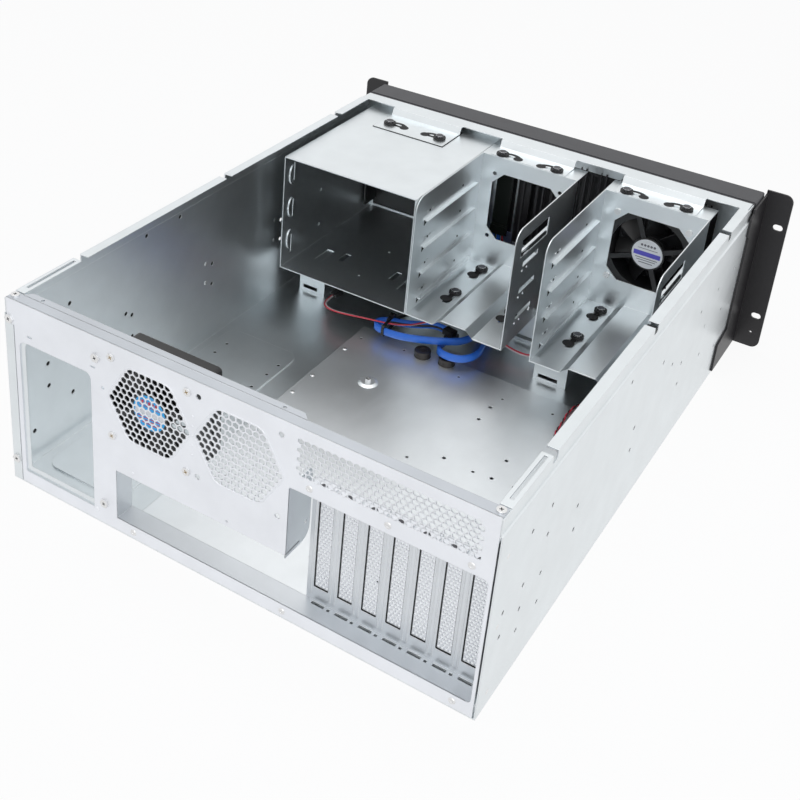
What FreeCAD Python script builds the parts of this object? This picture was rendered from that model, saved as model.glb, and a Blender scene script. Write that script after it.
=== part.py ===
import FreeCAD, Part
import math
import os
import Sketcher

# Empty 4U rack server case, seen with its top cover off. Everything is drawn with the
# outer face of the rear panel at y = 0, the front towards -Y and the floor at z = 0,
# and is then shifted so that the origin is the bottom centre of the whole case.

doc = FreeCAD.newDocument("rack_case")
sheet = doc.addObject("Spreadsheet::Sheet", "sizes")
os.makedirs("parts", exist_ok=True)
finished = {}


# ---------------------------------------------------------------- sizes and helpers

class Size:
    """A number together with the spreadsheet expression that gives it."""

    def __init__(self, value, text):
        self.value = float(value)
        self.text = text

    def __add__(self, other):
        return joined(self, "+", other)

    def __radd__(self, other):
        return joined(other, "+", self)

    def __sub__(self, other):
        return joined(self, "-", other)

    def __rsub__(self, other):
        return joined(other, "-", self)

    def __mul__(self, other):
        return joined(self, "*", other)

    def __rmul__(self, other):
        return joined(other, "*", self)

    def __truediv__(self, other):
        return joined(self, "/", other)

    def __neg__(self):
        return joined(0, "-", self)


def size_of(number):
    """Turns a plain number into a Size."""
    if isinstance(number, Size):
        return number
    return Size(number, f"({number})")


def joined(left, sign, right):
    left = size_of(left)
    right = size_of(right)
    results = {"+": left.value + right.value, "-": left.value - right.value,
               "*": left.value * right.value}
    value = left.value / right.value if sign == "/" else results[sign]
    return Size(value, f"({left.text} {sign} {right.text})")


def cell(alias, value, note):
    """Writes one driving size into the sheet and returns it."""
    row = len(sheet.getUsedCells()) // 2 + 1
    sheet.set(f"A{row}", note)
    sheet.set(f"B{row}", str(value))
    sheet.setAlias(f"B{row}", alias)
    doc.recompute()
    return Size(getattr(sheet, alias), f"sizes.{alias}")


def bind(item, name, size):
    item.setExpression(name, size_of(size).text)


def place(item, x=0, y=0, z=0):
    bind(item, "Placement.Base.x", x)
    bind(item, "Placement.Base.y", y)
    bind(item, "Placement.Base.z", z)


def block(name, x, y, z):
    """A box between two values along each axis."""
    item = doc.addObject("Part::Box", name)
    bind(item, "Length", size_of(x[1]) - x[0])
    bind(item, "Width", size_of(y[1]) - y[0])
    bind(item, "Height", size_of(z[1]) - z[0])
    place(item, x[0], y[0], z[0])
    return item


TURN = {"z": FreeCAD.Rotation(),
        "x": FreeCAD.Rotation(FreeCAD.Vector(0, 1, 0), 90),
        "y": FreeCAD.Rotation(FreeCAD.Vector(1, 0, 0), -90)}


def along(item, axis, centre, start):
    """Turns an upright solid to lie along an axis and puts its foot at start."""
    item.Placement = FreeCAD.Placement(FreeCAD.Vector(), TURN[axis])
    spots = {"z": (centre[0], centre[1], start), "y": (centre[0], start, centre[1]),
             "x": (start, centre[0], centre[1])}
    place(item, *spots[axis])
    return item


def rod(name, axis, centre, radius, span):
    """A cylinder along an axis; centre holds the two other coordinates in XYZ order."""
    item = doc.addObject("Part::Cylinder", name)
    bind(item, "Radius", radius)
    bind(item, "Height", size_of(span[1]) - span[0])
    return along(item, axis, centre, span[0])


def prism(name, axis, centre, radius, span, sides=6):
    """A regular prism, as a hexagon head or a faceted rubber ring."""
    item = doc.addObject("Part::Prism", name)
    item.Polygon = sides
    bind(item, "Circumradius", radius)
    bind(item, "Height", size_of(span[1]) - span[0])
    return along(item, axis, centre, span[0])


def fuse(name, pieces):
    item = doc.addObject("Part::MultiFuse", name)
    item.Shapes = pieces
    return item


def group(name, pieces):
    """Separate solids kept in one node."""
    item = doc.addObject("Part::Compound", name)
    item.Links = pieces
    return item


def cut(name, base, tools):
    item = doc.addObject("Part::Cut", name)
    item.Base = base
    item.Tool = tools[0] if len(tools) == 1 else group(name + "_tools", tools)
    return item


def corners(points):
    """Turns (u, v) and (u, v, radius) corners into edges: straight ones and arcs."""
    points = [tuple(size_of(number) for number in point) for point in points]
    twice_area = sum(a[0].value * b[1].value - b[0].value * a[1].value
                     for a, b in zip(points, points[1:] + points[:1]))
    if twice_area < 0:
        points.reverse()
    edges = []
    previous = points[-1]
    for index, point in enumerate(points):
        following = points[(index + 1) % len(points)]
        if len(point) == 2:
            edges.append((point, None))
        else:
            tangents = []
            for other in (previous, following):
                du = other[0].value - point[0].value
                dv = other[1].value - point[1].value
                length = math.hypot(du, dv)
                tangents.append((point[0] + point[2] * round(du / length, 9),
                                 point[1] + point[2] * round(dv / length, 9)))
            edges.append((tangents[0], (point, point[2])))
            edges.append((tangents[1], None))
        previous = point
    return edges


def draw_loop(sketch, points):
    """Draws a closed outline whose corners are all held by sheet expressions."""
    edges = corners(points)
    first = sketch.GeometryCount
    ends = []
    for index, (start, bend) in enumerate(edges):
        stop = edges[(index + 1) % len(edges)][0]
        a = FreeCAD.Vector(start[0].value, start[1].value, 0)
        b = FreeCAD.Vector(stop[0].value, stop[1].value, 0)
        if bend is None:
            sketch.addGeometry(Part.LineSegment(a, b), False)
            ends.append((1, 2))
            continue
        corner = FreeCAD.Vector(bend[0][0].value, bend[0][1].value, 0)
        centre = a + b - corner
        middle = centre + (corner - centre).normalize() * bend[1].value
        sketch.addGeometry(Part.Arc(a, middle, b), False)
        arc = sketch.Geometry[first + index]
        ends.append((1, 2) if arc.StartPoint.distanceToPoint(a) < 1e-6 else (2, 1))
    for index, (start, bend) in enumerate(edges):
        here = first + index
        after = first + (index + 1) % len(edges)
        first_end = ends[index][0]
        next_end = ends[(index + 1) % len(edges)][0]
        sketch.addConstraint(Sketcher.Constraint("Coincident", here, ends[index][1],
                                                 after, next_end))
        hold(sketch, here, first_end, start)
        if bend is not None:
            hold_value(sketch, Sketcher.Constraint("Radius", here, bend[1].value), bend[1])


def hold(sketch, geometry, end, point):
    """Holds one point of a sketch at (u, v) from its origin."""
    for kind, size in zip(("DistanceX", "DistanceY"), point):
        size = size_of(size)
        rule = Sketcher.Constraint(kind, -1, 1, geometry, end, size.value)
        hold_value(sketch, rule, size)


def hold_value(sketch, rule, size):
    index = sketch.addConstraint(rule)
    if "sizes." in size.text:
        sketch.setExpression(f"Constraints[{index}]", size.text)


def draw_circle(sketch, u, v, radius):
    radius = size_of(radius)
    centre = FreeCAD.Vector(size_of(u).value, size_of(v).value, 0)
    index = sketch.addGeometry(Part.Circle(centre, FreeCAD.Vector(0, 0, 1), radius.value), False)
    hold_value(sketch, Sketcher.Constraint("Radius", index, radius.value), radius)
    hold(sketch, index, 3, (u, v))


def body_sketch(body, name, plane, level, loops, circles=()):
    """A sketch on one of the body's origin planes, moved to a level along its axis."""
    sketch = body.newObject("Sketcher::SketchObject", name)
    origin = [item for item in body.Origin.OriginFeatures if item.Role == plane][0]
    sketch.AttachmentSupport = (origin, [""])
    sketch.MapMode = "FlatFace"
    bind(sketch, "AttachmentOffset.Base.z", -size_of(level) if plane == "XZ_Plane" else level)
    for points in loops:
        draw_loop(sketch, points)
    for circle in circles:
        draw_circle(sketch, *circle)
    return sketch


def sheet_body(name, plane, span, outline, windows=(), circles=()):
    """A PartDesign body: one outline with its windows and holes, padded over span."""
    body = doc.addObject("PartDesign::Body", name)
    start = span[1] if plane == "XZ_Plane" else span[0]
    profile = body_sketch(body, name + "_outline", plane, start, [outline, *windows], circles)
    pad = body.newObject("PartDesign::Pad", name + "_pad")
    pad.Profile = profile
    bind(pad, "Length", size_of(span[1]) - span[0])
    profile.Visibility = False
    return body


def rectangle(u, v, radius=None):
    """The four corners of a rectangle, rounded or not."""
    spots = [(u[0], v[0]), (u[1], v[0]), (u[1], v[1]), (u[0], v[1])]
    return spots if radius is None else [(*spot, radius) for spot in spots]


def spaced(centre, pitch, count):
    """Positions of a row of equal steps about its centre."""
    return [centre + pitch * (index - (count - 1) / 2) for index in range(count)]


def piece(name, item):
    """Names a finished sub-part and moves it to the origin of the whole case."""
    item.Label = name
    bind(item, "Placement.Base.y", shift_y)
    finished[name] = item
    return item


def hex_prisms(name, spots, radius, span, turn=0.0, stretch=1.0):
    """Hexagonal punches through the rear panel, as one tool of separate solids."""
    tool = doc.addObject("Part::Feature", name)
    solids = []
    for u, v in spots:
        ring = []
        for corner in range(6):
            angle = math.radians(60 * corner + turn)
            ring.append(FreeCAD.Vector(u + radius * math.cos(angle) * stretch, span[0],
                                       v + radius * math.sin(angle)))
        face = Part.Face(Part.makePolygon(ring + [ring[0]]))
        solids.append(face.extrude(FreeCAD.Vector(0, span[1] - span[0], 0)))
    tool.Shape = Part.makeCompound(solids)
    return tool


# ---------------------------------------------------------------- driving sizes

gauge = cell("gauge", 1.0, "sheet steel thickness")
wide = cell("wide", 430, "width over the side walls")
tall = cell("tall", 176, "height of the body")
deep = cell("deep", 549, "depth from the rear panel to the front wall")
bandhigh = cell("bandhigh", 15, "height of the joggled band that carries the cover")
joggle = cell("joggle", 1.2, "inward step of that band")
lip = cell("lip", 9, "width of the flange turned in along the top of a side wall")
railhigh = cell("railhigh", 12.5, "height of the rail under the rear openings")
flangedeep = cell("flangedeep", 16.5, "width of the rear panel's broad top flange")
flangeslim = cell("flangeslim", 10.5, "width of the narrow rest of that flange")
recess = cell("recess", 18.5, "depth of the slot panel behind the rear face")
seam = cell("seam", 9, "width of the side wall's flange beside the power supply opening")
psuhigh = cell("psuhigh", 128, "height of the power supply opening")
psuwide = cell("psuwide", 74, "width of the power supply opening")
psuedge = cell("psuedge", 14.3, "distance of that opening from the outside of the wall")
iowide = cell("iowide", 158.75, "width of the motherboard connector window")
iohigh = cell("iohigh", 47.5, "height of the motherboard connector window")
iocentre = cell("iocentre", 24, "sideways place of the motherboard connector window")
slothigh = cell("slothigh", 110, "height of the window over the slot panel")
slotpitch = cell("slotpitch", 20.32, "pitch of the expansion slots")
slotstart = cell("slotstart", 76.3, "distance of the first slot from the middle")
slotwide = cell("slotwide", 14.5, "width of one slot opening")
fansize = cell("fansize", 80, "side of a fan frame")
fanhole = cell("fanhole", 71.5, "screw hole spacing of a fan")
fandeep = cell("fandeep", 25, "depth of a fan")
fanhigh = cell("fanhigh", 128, "height of the rear fan axis")
fanside = cell("fanside", 70.5, "sideways place of the rear fan axis")
fanpitch = cell("fanpitch", 81.8, "distance between the two rear fan grilles")
grillepitch = cell("grillepitch", 11, "pitch of the fan grille's holes")
ventpitch = cell("ventpitch", 11.8, "sideways pitch of the vent's holes")
ventrise = cell("ventrise", 7.7, "pitch of the vent's rows")
traylift = cell("traylift", 4, "height of the motherboard tray over the floor")
trayside = cell("trayside", 98.5, "sideways place of the tray's free edge")
trayfront = cell("trayfront", 373, "depth of the tray's front edge")
cagelow = cell("cagelow", 42.5, "height of the drive cages over the table")
cagehigh = cell("cagehigh", 126, "height of the drive cages")
cagerear = cell("cagerear", 364, "depth of the drive cages' rear edges")
footnear = cell("footnear", 37, "setback of the near feet behind the cages' rear edges")
footfar = cell("footfar", 90, "setback of the far feet behind the cages' rear edges")
footreach = cell("footreach", 142, "setback of the feet's front ends behind those edges")
fanwall = cell("fanwall", 503, "depth of the fan wall of a hard disk cage")
baywide = cell("baywide", 149, "outer width of the wide drive cage")
bayedge = cell("bayedge", 50.5, "sideways place of the wide cage's inner wall")
diskwide = cell("diskwide", 104, "outer width of a hard disk cage")
diskgap = cell("diskgap", 28.8, "gap between the two hard disk cages")
hump = cell("hump", 7, "height of the stiffening hump in a cage floor")
tabwide = cell("tabwide", 82, "width of a cage tab")
tabscrew = cell("tabscrew", 59.5, "distance between the two screws of a tab")
raildeep = cell("raildeep", 16, "width of the front wall's top flange")
rackwide = cell("rackwide", 482.6, "width over the rack ears")
rackhole = cell("rackhole", 465.1, "distance between the rack holes across the ears")
rackrise = cell("rackrise", 101.6, "distance between the two rack holes of one ear")
earfront = cell("earfront", 592, "depth of the ears' rear faces")
earthick = cell("earthick", 2.0, "thickness of an ear")
bezeldeep = cell("bezeldeep", 34, "depth of the front frame")
bezelwall = cell("bezelwall", 3, "wall thickness of the front frame")
doorthick = cell("doorthick", 1.5, "thickness of the front door")
hubsize = cell("hubsize", 34, "diameter of a fan hub")
rotorsize = cell("rotorsize", 74, "diameter over the fan blades")
shaftsize = cell("shaftsize", 3, "diameter of a fan shaft")
headhigh = cell("headhigh", 1.6, "height of the rear screw heads")
ringsize = cell("ringsize", 13, "diameter of a rubber ring")
blueround = cell("blueround", 3, "diameter that stands for the flat blue cables")
redround = cell("redround", 2, "diameter of the fan's lead")
pairround = cell("pairround", 2.4, "diameter of the twisted pair")

grillerings = 3
half = wide / 2
inner = half - gauge
bandhalf = half - joggle
shift_y = (earfront + earthick - headhigh) / 2


# ---------------------------------------------------------------- base pan

def base_pan():
    """Floor and both side walls, folded from one sheet, with the embossed pad."""
    step = tall - bandhigh
    side = [(half, 0), (half, step), (bandhalf, step + joggle), (bandhalf, tall),
            (bandhalf - lip, tall), (bandhalf - lip, tall - gauge),
            (bandhalf - gauge, tall - gauge), (bandhalf - gauge, step + joggle),
            (inner, step), (inner, gauge)]
    outline = side + [(-u, v) for u, v in reversed(side)]
    walls = sheet_body("pan_walls", "XZ_Plane", (-deep, 0), outline)
    pad_x = (half - 91, half - 10)
    pad_y = (-291, -26)
    pad = sheet_body("pad_top", "XY_Plane", (gauge / 2, gauge + 1.6), rectangle(pad_x, pad_y, 12))
    dish = sheet_body("pad_dish", "XY_Plane", (-gauge, 1.6),
                      rectangle((pad_x[0] + gauge, pad_x[1] - gauge),
                                (pad_y[0] + gauge, pad_y[1] - gauge), 11))
    strip = block("pan_strip", (half - seam, inner), (-gauge, 0), (0, psuhigh + 25))
    upstand = block("pan_upstand", (-half + 10, half - 10), (-2 * gauge, -gauge),
                    (gauge / 2, railhigh - 2.5))
    solid = fuse("pan_solid", [walls, pad, strip, upstand])
    tools = [dish]
    top = (tall - gauge, tall + 1)
    tools.append(block("pan_rear_gap", (-half, half), (-12, 1), top))
    tools.append(block("pan_front_gap", (-half, half), (-deep - 1, raildeep - deep), top))
    for mark, sign in (("l", 1), ("r", -1)):
        edge = (sign * half - 14, sign * half + 14)
        for number, place_y in enumerate((-81, -279, -474)):
            tools.append(block(f"pan_notch_{mark}{number}", edge, (place_y - 4, place_y + 4),
                               (tall - 7, tall + 1)))
        for number, place_y in enumerate((-149, -267, -384)):
            for level, height in enumerate((62.5, 85)):
                tools.append(prism(f"pan_hole_{mark}{number}{level}", "x", (place_y, height), 2.2,
                                   (sign * half - 3, sign * half + 3), 6))
    spots = [(u.value, v.value) for u, v in psu_screw_spots()]
    tools.append(hex_prisms("pan_screw_holes", spots, 2.4, (-3, 1)))
    slot = bandhalf - lip / 2
    tools.append(block("pan_slit_l", (slot - 1.4, slot + 1.4), (-74, -20), top))
    tools.append(block("pan_slit_r", (-slot - 1.4, -slot + 1.4), (-74, -20), top))
    return cut("base_pan", solid, tools)


# ---------------------------------------------------------------- rear panel

def window_places():
    """Left and right edges of the rear windows, from the power supply to the slots."""
    psu = (half - psuedge - psuwide, half - psuedge)
    io = (iocentre - iowide / 2, iocentre + iowide / 2)
    return psu, io


def honeycomb(centre_u, centre_v, pitch, rings):
    """Centres of a hexagonal field of holes around one point."""
    spots = []
    for row in range(-rings, rings + 1):
        count = 2 * rings + 1 - abs(row)
        for column in range(count):
            spots.append((centre_u + (column - (count - 1) / 2) * pitch,
                          centre_v + row * pitch * math.sqrt(3) / 2))
    return spots


def fan_corners(centre_u, centre_v):
    """The four screw places around a fan axis."""
    return [(size_of(centre_u + u * fanhole / 2).value, size_of(centre_v + v * fanhole / 2).value)
            for u in (-1, 1) for v in (-1, 1)]


def rear_panel():
    """Folded rear wall: openings, fan grilles, vent, top flange, rail and window returns."""
    side = bandhalf - gauge - 0.1
    psu, io = window_places()
    strip = half - seam - 0.2
    split = psuhigh + 25.2
    outline = [(-side, gauge), (strip, gauge), (strip, split), (side, split), (side, tall),
               (-side, tall)]
    slots = (-half + 5, io[0])
    slot_top = railhigh + slothigh
    io_top = railhigh + iohigh
    window = [(slots[0], railhigh, 4), (io[1], railhigh), (io[1], io_top), (io[0], io_top),
              (io[0], slot_top), (slots[0], slot_top)]
    opening = [(psu[0], railhigh), (psu[1], railhigh), (psu[1], railhigh + psuhigh, 7),
               (psu[0], railhigh + psuhigh, 7)]
    spare = [(u, v, 2.2) for u, v in fan_corners(fanside - fanpitch, fanhigh)]
    plate = sheet_body("rear_plate", "XZ_Plane", (-gauge, 0), outline, [window, opening], spare)
    flange = block("rear_flange", (-side, side), (-flangeslim, -gauge / 2), (tall - gauge, tall))
    step = flangedeep - flangeslim
    broad = sheet_body("rear_flange_broad", "XY_Plane", (tall - gauge, tall),
                       [(io[0] - step, 0.5 - flangeslim), (side - 14 + step, 0.5 - flangeslim),
                        (side - 14, -flangedeep), (io[0], -flangedeep)])
    ledge = block("rear_ledge", (slots[0], io[1]), (-recess, -gauge / 2),
                  (railhigh - gauge, railhigh))
    cheek = block("rear_cheek", (io[1], io[1] + gauge), (-recess, -gauge / 2),
                  (railhigh - gauge, io_top + gauge))
    hood = block("rear_hood", (io[0], io[1]), (-recess, -gauge / 2), (io_top, io_top + gauge))
    fin = sheet_body("rear_fin", "YZ_Plane", (io[0], io[0] + gauge),
                     [(-gauge / 2, io_top - 3), (-recess - 13, io_top - 3, 12),
                      (-recess - 13, slot_top - gauge, 3), (-gauge / 2, slot_top - gauge)])
    wing = block("rear_wing", (-side, -side + gauge), (-25, -gauge / 2), (railhigh, tall - 20))
    solid = fuse("rear_solid", [plate, flange, broad, ledge, cheek, hood, fin, wing])
    tools = []
    across = (-2, 1)
    for mark, centre in (("a", fanside), ("b", fanside - fanpitch)):
        spots = honeycomb(centre.value, fanhigh.value, grillepitch.value, grillerings)
        tools.append(hex_prisms(f"grille_{mark}", spots, grillepitch.value * 0.51, across, 30))
    tools.append(hex_prisms("grille_screws", fan_corners(fanside, fanhigh), 2.4, across))
    psu_holes = [(u.value, v.value) for u, v in psu_screw_spots()]
    tools.append(hex_prisms("psu_holes", psu_holes, 2.4, across))
    vent = []
    for row in range(4):
        for column in range(12 - row % 2):
            vent.append((-68.5 - ventpitch.value * (column + row % 2 / 2),
                         161.8 - ventrise.value * row))
    tools.append(hex_prisms("vent_holes", vent, ventpitch.value * 0.33, across, 0, 1.25))
    for number in range(7):
        centre = -slotstart - slotpitch * number
        tools.append(block(f"ledge_slit_{number}", (centre - 5.5, centre + 5.5),
                           (-recess, -recess + 3), (railhigh - 2 * gauge, railhigh + 1)))
    return cut("rear_panel", solid, tools)


def psu_frame():
    """Plate behind the rear panel that a power supply is screwed to."""
    psu, io = window_places()
    outline = rectangle((psu[0] - 13, inner - joggle - 0.3), (railhigh + 2, railhigh + psuhigh + 26))
    hole = [(psu[0] - 0.5, railhigh + 6), (psu[1] - 5, railhigh + 6),
            (psu[1] - 5, railhigh + psuhigh + 1, 7), (psu[0] - 0.5, railhigh + psuhigh + 1, 7)]
    plate = sheet_body("psu_plate", "XZ_Plane", (-gauge - 1.2, -gauge), outline, [hole])
    spots = [(u.value, v.value) for u, v in psu_screw_spots()]
    return cut("psu_frame", plate, [hex_prisms("psu_frame_holes", spots, 1.9, (-3, 1))])


def psu_screw_spots():
    """Where the four screws of the power supply frame sit."""
    psu, io = window_places()
    low = railhigh + 9
    high = railhigh + psuhigh + 17
    return [(psu[0] - 5.5, high), (psu[1] + 9.2, high), (psu[0] - 11, low), (psu[1] + 9.7, low)]


# ---------------------------------------------------------------- expansion slots

def slot_panel():
    """Recessed wall with seven slot openings, a screw shelf and a riveted top flange."""
    shelf = railhigh + slothigh
    left = iocentre - iowide / 2 - 9
    right = -half + 5
    face = sheet_body("slot_face", "XZ_Plane", (-recess - gauge, -recess),
                      rectangle((right, left), (railhigh, shelf + gauge)),
                      [rectangle((-slotstart - slotpitch * number - slotwide / 2,
                                  -slotstart - slotpitch * number + slotwide / 2),
                                 (railhigh + 14, shelf - 8)) for number in range(7)])
    top = block("slot_shelf", (right, left), (-recess - gauge / 2, -gauge), (shelf, shelf + gauge))
    flange = block("slot_flange", (right, left), (-2 * gauge, -gauge), (shelf, shelf + 10))
    return fuse("slot_panel", [face, top, flange])


def slot_cover(number):
    """One expansion slot cover: a blade with a tab bent over the shelf."""
    centre = -slotstart - slotpitch * number
    shelf = railhigh + slothigh + gauge
    rear = -recess - gauge
    blade = sheet_body(f"cover_blade_{number}", "XZ_Plane", (rear - 0.8, rear),
                       [(centre - 9.2, railhigh + 5), (centre - 5, railhigh + 1),
                        (centre + 5, railhigh + 1), (centre + 9.2, railhigh + 5),
                        (centre + 9.2, shelf + 0.8), (centre - 9.2, shelf + 0.8)])
    tab = block(f"cover_tab_{number}", (centre - 9.2, centre + 9.2), (rear - 0.4, rear + 11),
                (shelf, shelf + 0.8))
    return fuse(f"slot_cover_{number + 1}", [blade, tab])


# ---------------------------------------------------------------- motherboard tray

def motherboard_tray():
    """Raised tray with turned-down edges, hole field and one embossed boss."""
    high = gauge + traylift
    right = -half + 12
    outline = [(right, gauge), (right, high), (trayside, high), (trayside, gauge),
               (trayside - gauge, gauge), (trayside - gauge, high - gauge),
               (right + gauge, high - gauge), (right + gauge, gauge)]
    deck = sheet_body("tray_deck", "XZ_Plane", (-trayfront, -recess - 4), outline)
    front = block("tray_front", (right, trayside), (-trayfront, gauge - trayfront), (gauge, high))
    boss = doc.addObject("Part::Cone", "tray_boss")
    bind(boss, "Radius1", 10)
    bind(boss, "Radius2", 7)
    bind(boss, "Height", 1.6)
    place(boss, 45.4, -290.7, high)
    solid = fuse("tray_solid", [deck, front, boss])
    spots = [(-66.5, -326), (-66, -303), (-66.8, -233.6), (-113, -263.3), (-113, -233.7),
             (-133.7, -234.2)]
    tools = [prism(f"tray_hole_{number}", "z", spot, 1.9, (0, high + 1), 6)
             for number, spot in enumerate(spots)]
    return cut("motherboard_tray", solid, tools)


def standoff():
    """Hexagon spacer screwed into the tray's boss."""
    base = gauge + traylift + 1.6
    post = prism("standoff_post", "z", (45.4, -290.7), 3, (base, base + 3))
    bore = rod("standoff_bore", "z", (45.4, -290.7), 1.3, (base + 0.5, base + 4))
    return cut("standoff", post, [bore])


# ---------------------------------------------------------------- drive cages

def drive_cage():
    """Wide cage for three 5.25 inch drives: a folded tube, open to both ends."""
    left = bayedge + baywide
    low = cagelow
    high = cagelow + cagehigh
    tube = sheet_body("bay_tube", "XZ_Plane", (gauge - deep, -cagerear),
                      rectangle((bayedge, left), (low, high)),
                      [rectangle((bayedge + gauge, left - gauge), (low + gauge, high - gauge))])
    tools = []
    for number, height in enumerate(spaced(low + cagehigh / 2, 41.3, 3)):
        tools.append(block(f"bay_lance_{number}", (left - 2 * gauge, left + 1),
                           (-cagerear - 18, -cagerear - 14.5), (height - 10, height + 10)))
        for mark, wall in (("a", bayedge), ("b", left)):
            tools.append(prism(f"bay_hole_{number}{mark}", "x", (-cagerear - 70, height), 1.9,
                               (wall - 3, wall + 3), 6))
    for number, centre in enumerate((bayedge + 26, left - 24)):
        tools.append(block(f"bay_louvre_{number}", (centre - 4, centre + 4),
                           (-cagerear - 62, -cagerear - 36), (low - 1, low + 2 * gauge)))
    return cut("drive_bay_cage", tube, tools)


def disk_cage_centres():
    return bayedge - 0.5 - diskwide / 2, bayedge - 0.5 - diskwide * 1.5 - diskgap


def ring_spots(centre):
    """The four rubber ring positions in the floor of a hard disk cage."""
    return [(centre + u, v) for u in (-31, 31) for v in (-cagerear - 66, -cagerear - 126)]


def disk_cage(name, centre):
    """Folded hard disk cage: humped floor, ribbed walls, fan wall and top flange."""
    left = centre + diskwide / 2
    right = centre - diskwide / 2
    low = cagelow
    high = cagelow + cagehigh
    depth = (-fanwall, -cagerear)
    floor = sheet_body(name + "_floor", "XZ_Plane", depth,
                       [(right, low), (centre - 22, low), (centre - 14, low + hump),
                        (centre + 14, low + hump), (centre + 22, low), (left, low),
                        (left, low + gauge), (centre + 21, low + gauge),
                        (centre + 13, low + hump + gauge), (centre - 13, low + hump + gauge),
                        (centre - 21, low + gauge), (right, low + gauge)])
    pieces = [floor]
    wall = [(-fanwall, low), (-cagerear, low), (-cagerear, high, 14), (-fanwall, high)]
    for mark, span, inward in (("l", (left - gauge, left), -1), ("r", (right, right + gauge), 1)):
        pieces.append(sheet_body(f"{name}_wall_{mark}", "YZ_Plane", span, wall))
        face = span[0] if inward < 0 else span[1]
        reach = (face - 3.5, face + 0.3) if inward < 0 else (face - 0.3, face + 3.5)
        for number, height in enumerate(spaced(low + 53, 28.9, 4)):
            pieces.append(block(f"{name}_rib_{mark}{number}", reach,
                                (-cagerear - 128, -cagerear - 20), (height - 0.6, height + 0.6)))
    fan_z = cagelow + 71.2
    size = fansize / 2 - 2.5
    bevel = 12
    octagon = [(centre - size, fan_z - size + bevel), (centre - size + bevel, fan_z - size),
               (centre + size - bevel, fan_z - size), (centre + size, fan_z - size + bevel),
               (centre + size, fan_z + size - bevel), (centre + size - bevel, fan_z + size),
               (centre - size + bevel, fan_z + size), (centre - size, fan_z + size - bevel)]
    holes = [(u, v, 2.2) for u, v in fan_corners(centre, fan_z)]
    pieces.append(sheet_body(name + "_fan_wall", "XZ_Plane", (-fanwall - gauge, -fanwall),
                             rectangle((right, left), (low, high)), [octagon], holes))
    pieces.append(block(name + "_flange", (right, left), (-fanwall - 27, -fanwall),
                        (high - gauge, high)))
    solid = fuse(name + "_solid", pieces)
    tools = []
    for number, (u, v) in enumerate(ring_spots(centre)):
        tools.append(prism(f"{name}_ring_hole_{number}", "z", (u, v), ringsize / 2 - 2,
                           (low - 1, low + 2 * gauge), 8))
        tools.append(block(f"{name}_key_{number}", (u - 4, u + 4), (v + 2, v + 23),
                           (low - 1, low + 2 * gauge)))
    for number, u in enumerate(tab_screw_spots(tab_centres()[name])):
        tools.append(prism(f"{name}_tab_hole_{number}", "z", (u, tab_screw_depth(name)), 2.5,
                           (high - 2 * gauge, high + 1), 6))
    tools.append(block(name + "_window", (right - 1, right + 2 * gauge),
                       (-cagerear - 76, -cagerear - 16), (high - 33, high - 14)))
    return cut(name, solid, tools)


def tab_centres():
    """Sideways middle of each cage tab."""
    middle, right = disk_cage_centres()
    return {"drive_bay_cage": bayedge + baywide / 2 + 4.5, "disk_cage_middle": middle + 2.5,
            "disk_cage_right": right + 2.5}


def tab_screw_spots(centre):
    return [centre - tabscrew / 2, centre + tabscrew / 2]


def tab_screw_depth(name):
    return -fanwall + 1 if name == "drive_bay_cage" else -fanwall - 5.5


# ---------------------------------------------------------------- front wall

def front_wall():
    """Front wall with the drive and air openings, top rail and three stepped tabs."""
    front = -deep
    side = inner - 0.1
    middle, right = disk_cage_centres()
    bays = rectangle((bayedge + 2, bayedge + baywide - 2), (cagelow + 2, cagelow + cagehigh - 2))
    air = rectangle((right - diskwide / 2 + 4, middle + diskwide / 2 - 26),
                    (cagelow + 12, cagelow + cagehigh - 8))
    panel = rectangle((middle + diskwide / 2 - 24, middle + diskwide / 2 - 4),
                      (cagelow + 22, cagelow + cagehigh - 22))
    top = tall - bandhigh
    outline = [(-side, gauge), (side, gauge), (side, top), (bandhalf - 1.4, top),
               (bandhalf - 1.4, tall), (1.4 - bandhalf, tall), (1.4 - bandhalf, top),
               (-side, top)]
    pieces = [sheet_body("front_plate", "XZ_Plane", (front, front + gauge), outline,
                         [bays, air, panel])]
    rail_y = (front + gauge / 2, front + raildeep)
    pieces.append(block("front_rail", (1.4 - bandhalf, bandhalf - 1.4), rail_y,
                        (tall - gauge, tall)))
    high = cagelow + cagehigh
    for number, (name, centre) in enumerate(tab_centres().items()):
        rear = tab_screw_depth(name) + 15 if name == "drive_bay_cage" else -fanwall - 0.5
        bend = front + raildeep + 4
        profile = [(bend - 6, tall), (bend - 6, tall - gauge), (bend - 0.5, tall - gauge),
                   (bend + 2.5, high), (rear, high), (rear, high + gauge),
                   (bend + 3.3, high + gauge), (bend + 0.4, tall)]
        pieces.append(sheet_body(f"front_tab_{number}", "YZ_Plane",
                                 (centre - tabwide / 2, centre + tabwide / 2), profile))
    solid = fuse("front_solid", pieces)
    tools = []
    for number, (name, centre) in enumerate(tab_centres().items()):
        for index, u in enumerate(tab_screw_spots(centre)):
            depth = tab_screw_depth(name)
            inward = 1 if index == 0 else -1
            tools.append(prism(f"tab_ring_hole_{number}{index}", "z", (u, depth),
                               ringsize / 2 - 2, (high - 1, high + 2 * gauge), 8))
            tools.append(block(f"tab_key_{number}{index}", (u + 8 * inward - 9, u + 8 * inward + 9),
                               (depth - 2.2, depth + 2.2), (high - 1, high + 2 * gauge)))
    return cut("front_wall", solid, tools)


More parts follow.
